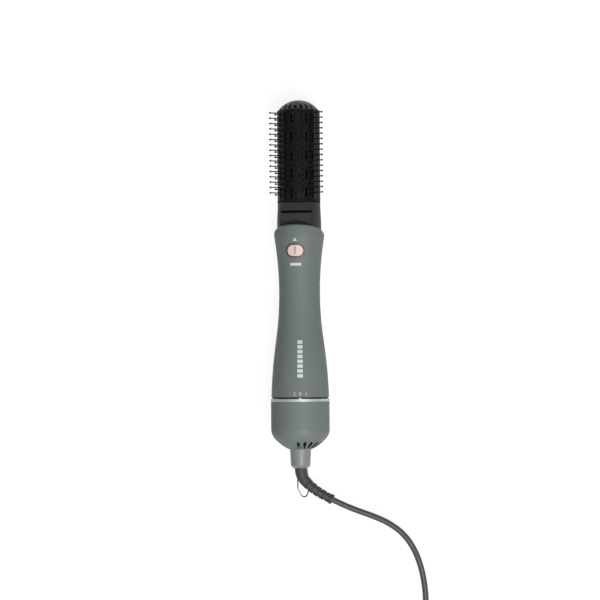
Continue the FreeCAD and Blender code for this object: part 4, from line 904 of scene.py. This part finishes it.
plug_axis = (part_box("plug_body")[0].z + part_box("plug_body")[1].z) / 2
LEAD = RELIEF[-2:] + [
    (39.4, -34.5, 0.27), (50.8, -39.4, 0.4), (62.6, -43.8, 0.54), (77.0, -50.6, 0.72), (90.0, -60.8, 0.87),
    (99.2, -74.6, 0.96), (105.0, -90.6, 0.995), (108.2, -107.4, 1.0), (109.1, -124.0, 1.0),
    (109.2, -140.0, 1.0), (108.9, -155.0, 1.0)]
TAIL = [
    (70.0, -199.6, 1.0), (57.0, -200.6, 1.0), (44.0, -203.8, 0.83), (30.5, -208.2, 0.4), (18.0, -211.8, 0.0),
    (6.0, -214.8, 0.0), (2.0, -215.8, 0.0)]
coil_low, coil_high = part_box("cord_coil")
coil_middle = (coil_low + coil_high) / 2
COIL_MEAN = 0.030
COIL_TURNS = 8.25
STEP_FROM = 0.7
# one turn in each place of the bundle, as (rings out from the middle one, layer)
WINDING = [(1, 0), (0, 0), (-1, 0), (-1, 1), (0, 1), (0, 2), (1, 2), (1, 1), (1, 1)]
TURN_POINTS = 12
POLYGON_SHARE = 0.75 + 0.25 * math.cos(2 * math.pi / TURN_POINTS)


def coil_points(turns):
    """The coil's turns: each keeps to its place and steps to the next one over its last third."""
    points = []
    for index in range(1, round(turns * TURN_POINTS) + 1):
        turn, share = divmod(index / TURN_POINTS, 1)
        here, then = WINDING[int(turn)], WINDING[min(int(turn) + 1, len(WINDING) - 1)]
        step = min(max((share - STEP_FROM) / 0.3, 0), 1)
        step = step * step * (3 - 2 * step)
        ring = here[0] + (then[0] - here[0]) * step
        level = here[1] + (then[1] - here[1]) * step
        angle = -2 * math.pi * share
        reach = (COIL_MEAN + ring * CORD_THICK) / POLYGON_SHARE
        across, along = coil_middle.x + reach * math.cos(angle), coil_middle.y + reach * math.sin(angle)
        points.append(Vector((across, along, layer + level * CORD_THICK)))
    return points


def lofted(stations, start, way, side, top, sides=56):
    """A closed body through oval sections: millimetres along, half width, half height and squareness."""
    shape = bmesh.new()
    rings = []
    for distance, wide, tall, square in stations:
        ring = []
        for index in range(sides):
            angle = 2 * math.pi * index / sides
            cosine, sine = math.cos(angle), math.sin(angle)
            across = math.copysign(abs(cosine) ** square, cosine) * wide
            rise = math.copysign(abs(sine) ** square, sine) * tall
            ring.append(shape.verts.new(start + (way * distance + side * across + top * rise) * MM))
        rings.append(ring)
    for near, far in zip(rings, rings[1:]):
        for index in range(sides):
            after = (index + 1) % sides
            shape.faces.new((near[index], near[after], far[after], far[index]))
    shape.faces.new(rings[0][::-1])
    shape.faces.new(rings[-1])
    return closed_mesh(shape)


def ribs(start, pitch, offsets, low, high, square):
    """Five ribs in a row, as sections for a lofted body."""
    profile = list(zip(offsets, (low, high, high, low)))
    return [(start + rib * pitch + offset, *half, square) for rib in range(5) for offset, half in profile]


plug_rubber = moulded(
    "plug_rubber", (56, 57, 57), (90, 90, 90), wear=(0.0006, 2.5), spread=0.08, roughness=0.55,
    polish=0.16, grain_scale=1500.0, grain=1.2, bump=0.00005)
plug_low, plug_high = table_points(TAIL[4:6], layer + CORD_THICK, plug_axis)
plug_way = (plug_high - plug_low).normalized()
plug_side = Vector((plug_way.y, -plug_way.x, 0))
plug_stations = [(0, 3.3, 3.3, 1.0), (0.8, 4.0, 4.0, 1.0)]
plug_stations += ribs(1.6, 2.2, (0, 0.3, 1.0, 1.3), (4.1, 4.1), (3.5, 3.5), 1.0)
plug_stations += [(12.8, 4.3, 4.3, 1.0), (13.6, 7.6, 6.0, 0.9), (15.0, 10.2, 7.6, 0.86)]
plug_stations += ribs(16.0, 2.1, (0, 0.4, 1.0, 1.4), (11.0, 7.8), (11.6, 8.3), 0.82)
plug_stations += [
    (27.4, 11.8, 8.4, 0.84), (29.2, 15.0, 11.0, 0.86), (31.2, 17.0, 12.6, 0.88), (34.0, 17.55, 12.95, 0.9),
    (50.5, 17.6, 13.0, 0.9), (52.8, 17.45, 12.85, 0.9), (53.7, 16.9, 12.3, 0.9), (54.0, 16.1, 11.5, 0.9)]
plug = new_piece("plug_moulding", lofted(
    plug_stations, plug_high, plug_way, plug_side, Vector((0, 0, 1))), "cord_swivel", plug_rubber)
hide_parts("plug_body")
plug_nickel = metal(
    "plug_nickel", (196, 194, 188), (140, 128, 104), stain=0.3, stretch=(200.0, 2600.0, 200.0),
    lines=0.12, roughness=0.24, bump=0.000006)
dress(plug_nickel, "plug_pin_a", "plug_pin_b")


def make_strap_tree():
    """A flat band round a rounded rectangle, with cross ribs on its outer face."""
    tree, given, gives = geometry_tree("coil_strap", [
        ("Width", "Float", 0.018), ("Height", "Float", 0.018), ("Corner", "Float", 0.004),
        ("Band", "Float", 0.011), ("Thick", "Float", 0.0008), ("Ribs", "Int", 60), ("Weave", "Material", None)])
    inner_width = minus(tree, given["Width"], given["Thick"])
    inner_height = minus(tree, given["Height"], given["Thick"])
    loop = made(tree, "GeometryNodeCurvePrimitiveQuadrilateral", {
        "Width": inner_width, "Height": inner_height})
    loop = made(tree, "GeometryNodeFilletCurve", {
        "Curve": loop, "Count": 8, "Radius": given["Corner"]}, mode="POLY")
    band = made(tree, "GeometryNodeCurvePrimitiveQuadrilateral", {
        "Width": given["Thick"], "Height": given["Band"]})
    band = made(tree, "GeometryNodeFilletCurve", {
        "Curve": band, "Count": 3, "Radius": times(tree, given["Thick"], 0.4)}, mode="POLY")
    strap = made(tree, "GeometryNodeCurveToMesh", {"Curve": loop, "Profile Curve": band})
    spots = add_node(tree, "GeometryNodeCurveToPoints", {"Curve": loop, "Count": given["Ribs"]}, mode="COUNT")
    rib = made(tree, "GeometryNodeMeshCylinder", {
        "Vertices": 8, "Radius": times(tree, given["Thick"], 0.5),
        "Depth": times(tree, given["Band"], 0.86)})
    ribs = made(tree, "GeometryNodeInstanceOnPoints", {"Points": spots.outputs[0], "Instance": rib})
    finish_tree(tree, join_of(tree, strap, ribs), given["Weave"], gives)
    return tree


tie_plastic = moulded(
    "tie_plastic", (44, 44, 45), (78, 78, 78), wear=(0.0003, 2.0), spread=0.1, roughness=0.6, polish=0.1,
    grain_scale=2800.0, grain=1.6, bump=0.00008)
tie_low, tie_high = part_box("cord_tie")
tie_middle = (tie_low + tie_high) / 2
band_mesh = grow(
    make_strap_tree(), Width=tie_high.x - tie_low.x, Height=tie_high.z - tie_low.z,
    Band=tie_high.y - tie_low.y, Weave=tie_plastic)
band_mesh.transform(Matrix.Translation(tie_middle) @ Matrix.Rotation(math.pi / 2, 4, "X"))
strap = new_piece("coil_strap", band_mesh, "cord_swivel")
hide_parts("cord_tie")

route = (
    table_points(LEAD, layer, collar_end.z) + coil_points(COIL_TURNS - 1 / TURN_POINTS)
    + table_points(TAIL, layer + CORD_THICK, plug_axis))
mains_cord = nurbs(
    "mains_cord", route, bevel_depth=CORD_THICK / 2, bevel_resolution=5, resolution_u=5, use_fill_caps=True)
cord_jacket = moulded(
    "cord_jacket", (80, 81, 81), (110, 110, 110), spread=0.07, roughness=0.5, polish=0.16,
    grain_scale=1500.0, grain=1.2, bump=0.00006)
mains_cord.data.materials.append(cord_jacket)
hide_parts("cord_lead", "cord_coil", "cord_tail")
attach(mains_cord, "cord_swivel")


# ---- the stage: floor, lamps and camera ----
# The tool lies on a plain white table under one wide soft lamp to the right and a weaker one to the left.

FLOOR_REACH = 9
floor_mesh = bpy.data.meshes.new("floor")
corners = [(x * FLOOR_REACH, y * FLOOR_REACH, 0) for x, y in ((-1, -1), (1, -1), (1, 1), (-1, 1))]
floor_mesh.from_pydata(corners, [], [(0, 1, 2, 3)])
floor = placed("floor", floor_mesh)
floor.location.z = -0.0003
paper = bpy.data.materials.new("paper")
paper.use_nodes = True
tree = paper.node_tree
tree.nodes.clear()
path = add_node(tree, "ShaderNodeLightPath").outputs
seen = math_of(tree, "MAXIMUM", path["Is Camera Ray"], path["Is Glossy Ray"])
lit = made(tree, "ShaderNodeBsdfDiffuse", {"Color": (0.26, 0.26, 0.26, 1)})
shown = made(tree, "ShaderNodeAddShader", {
    0: made(tree, "ShaderNodeBsdfDiffuse", {"Color": (0.2, 0.2, 0.2, 1)}),
    1: made(tree, "ShaderNodeEmission", {"Color": (1, 1, 1, 1), "Strength": 0.9})})
blend = made(tree, "ShaderNodeMixShader", {0: seen, 1: lit, 2: shown})
tree.links.new(blend, add_node(tree, "ShaderNodeOutputMaterial").inputs["Surface"])
floor.data.materials.append(paper)

scene = bpy.context.scene
scene.world = bpy.data.worlds.new("studio")
scene.world.use_nodes = True
tree = scene.world.node_tree
tree.nodes.clear()
path = add_node(tree, "ShaderNodeLightPath").outputs
seen = math_of(tree, "MAXIMUM", path["Is Camera Ray"], path["Is Transmission Ray"])
around = made(tree, "ShaderNodeBackground", {"Color": (1, 1, 1, 1), "Strength": 0.11})
white = made(tree, "ShaderNodeBackground", {"Color": (1, 1, 1, 1), "Strength": 1.0})
blend = made(tree, "ShaderNodeMixShader", {0: seen, 1: around, 2: white})
tree.links.new(blend, add_node(tree, "ShaderNodeOutputWorld").inputs["Surface"])


def softbox(name, place, target, size, power):
    lamp = bpy.data.lights.new(name, "AREA")
    lamp.shape = "RECTANGLE"
    lamp.size, lamp.size_y = size
    lamp.energy = power
    box = placed(name, lamp)
    box.location = place
    box.rotation_euler = (Vector(target) - Vector(place)).to_track_quat("-Z", "Y").to_euler()
    box.visible_camera = False


softbox("key_lamp", (0.6, -0.6, 1.5), (0, 0.09, 0.03), (0.8, 1.0), 25.0)
softbox("fill_lamp", (-1.1, 0.3, 1.2), (0, 0.09, 0.03), (0.9, 1.2), 1.4)

CAMERA_TURN = math.radians(10)
CAMERA_FAR = 2.2
VIEW_WIDTH = 0.54
CAMERA_ROLL = math.radians(0.65)
target = Vector((0.00103, 0.0897, 0.0279))
toward = Vector((math.sin(CAMERA_TURN), 0, math.cos(CAMERA_TURN)))
level = Vector((math.cos(CAMERA_TURN), 0, -math.sin(CAMERA_TURN)))
sideways = level * math.cos(CAMERA_ROLL) - Vector((0, math.sin(CAMERA_ROLL), 0))
upward = level * math.sin(CAMERA_ROLL) + Vector((0, math.cos(CAMERA_ROLL), 0))
lens = bpy.data.cameras.new("camera")
lens.sensor_width = 36.0
lens.lens = lens.sensor_width * CAMERA_FAR / VIEW_WIDTH
camera = placed("camera", lens)
camera.matrix_world = Matrix((
    (sideways.x, upward.x, toward.x, target.x + toward.x * CAMERA_FAR),
    (sideways.y, upward.y, toward.y, target.y + toward.y * CAMERA_FAR),
    (sideways.z, upward.z, toward.z, target.z + toward.z * CAMERA_FAR),
    (0, 0, 0, 1)))
scene.camera = camera
scene.view_settings.view_transform = "Standard"
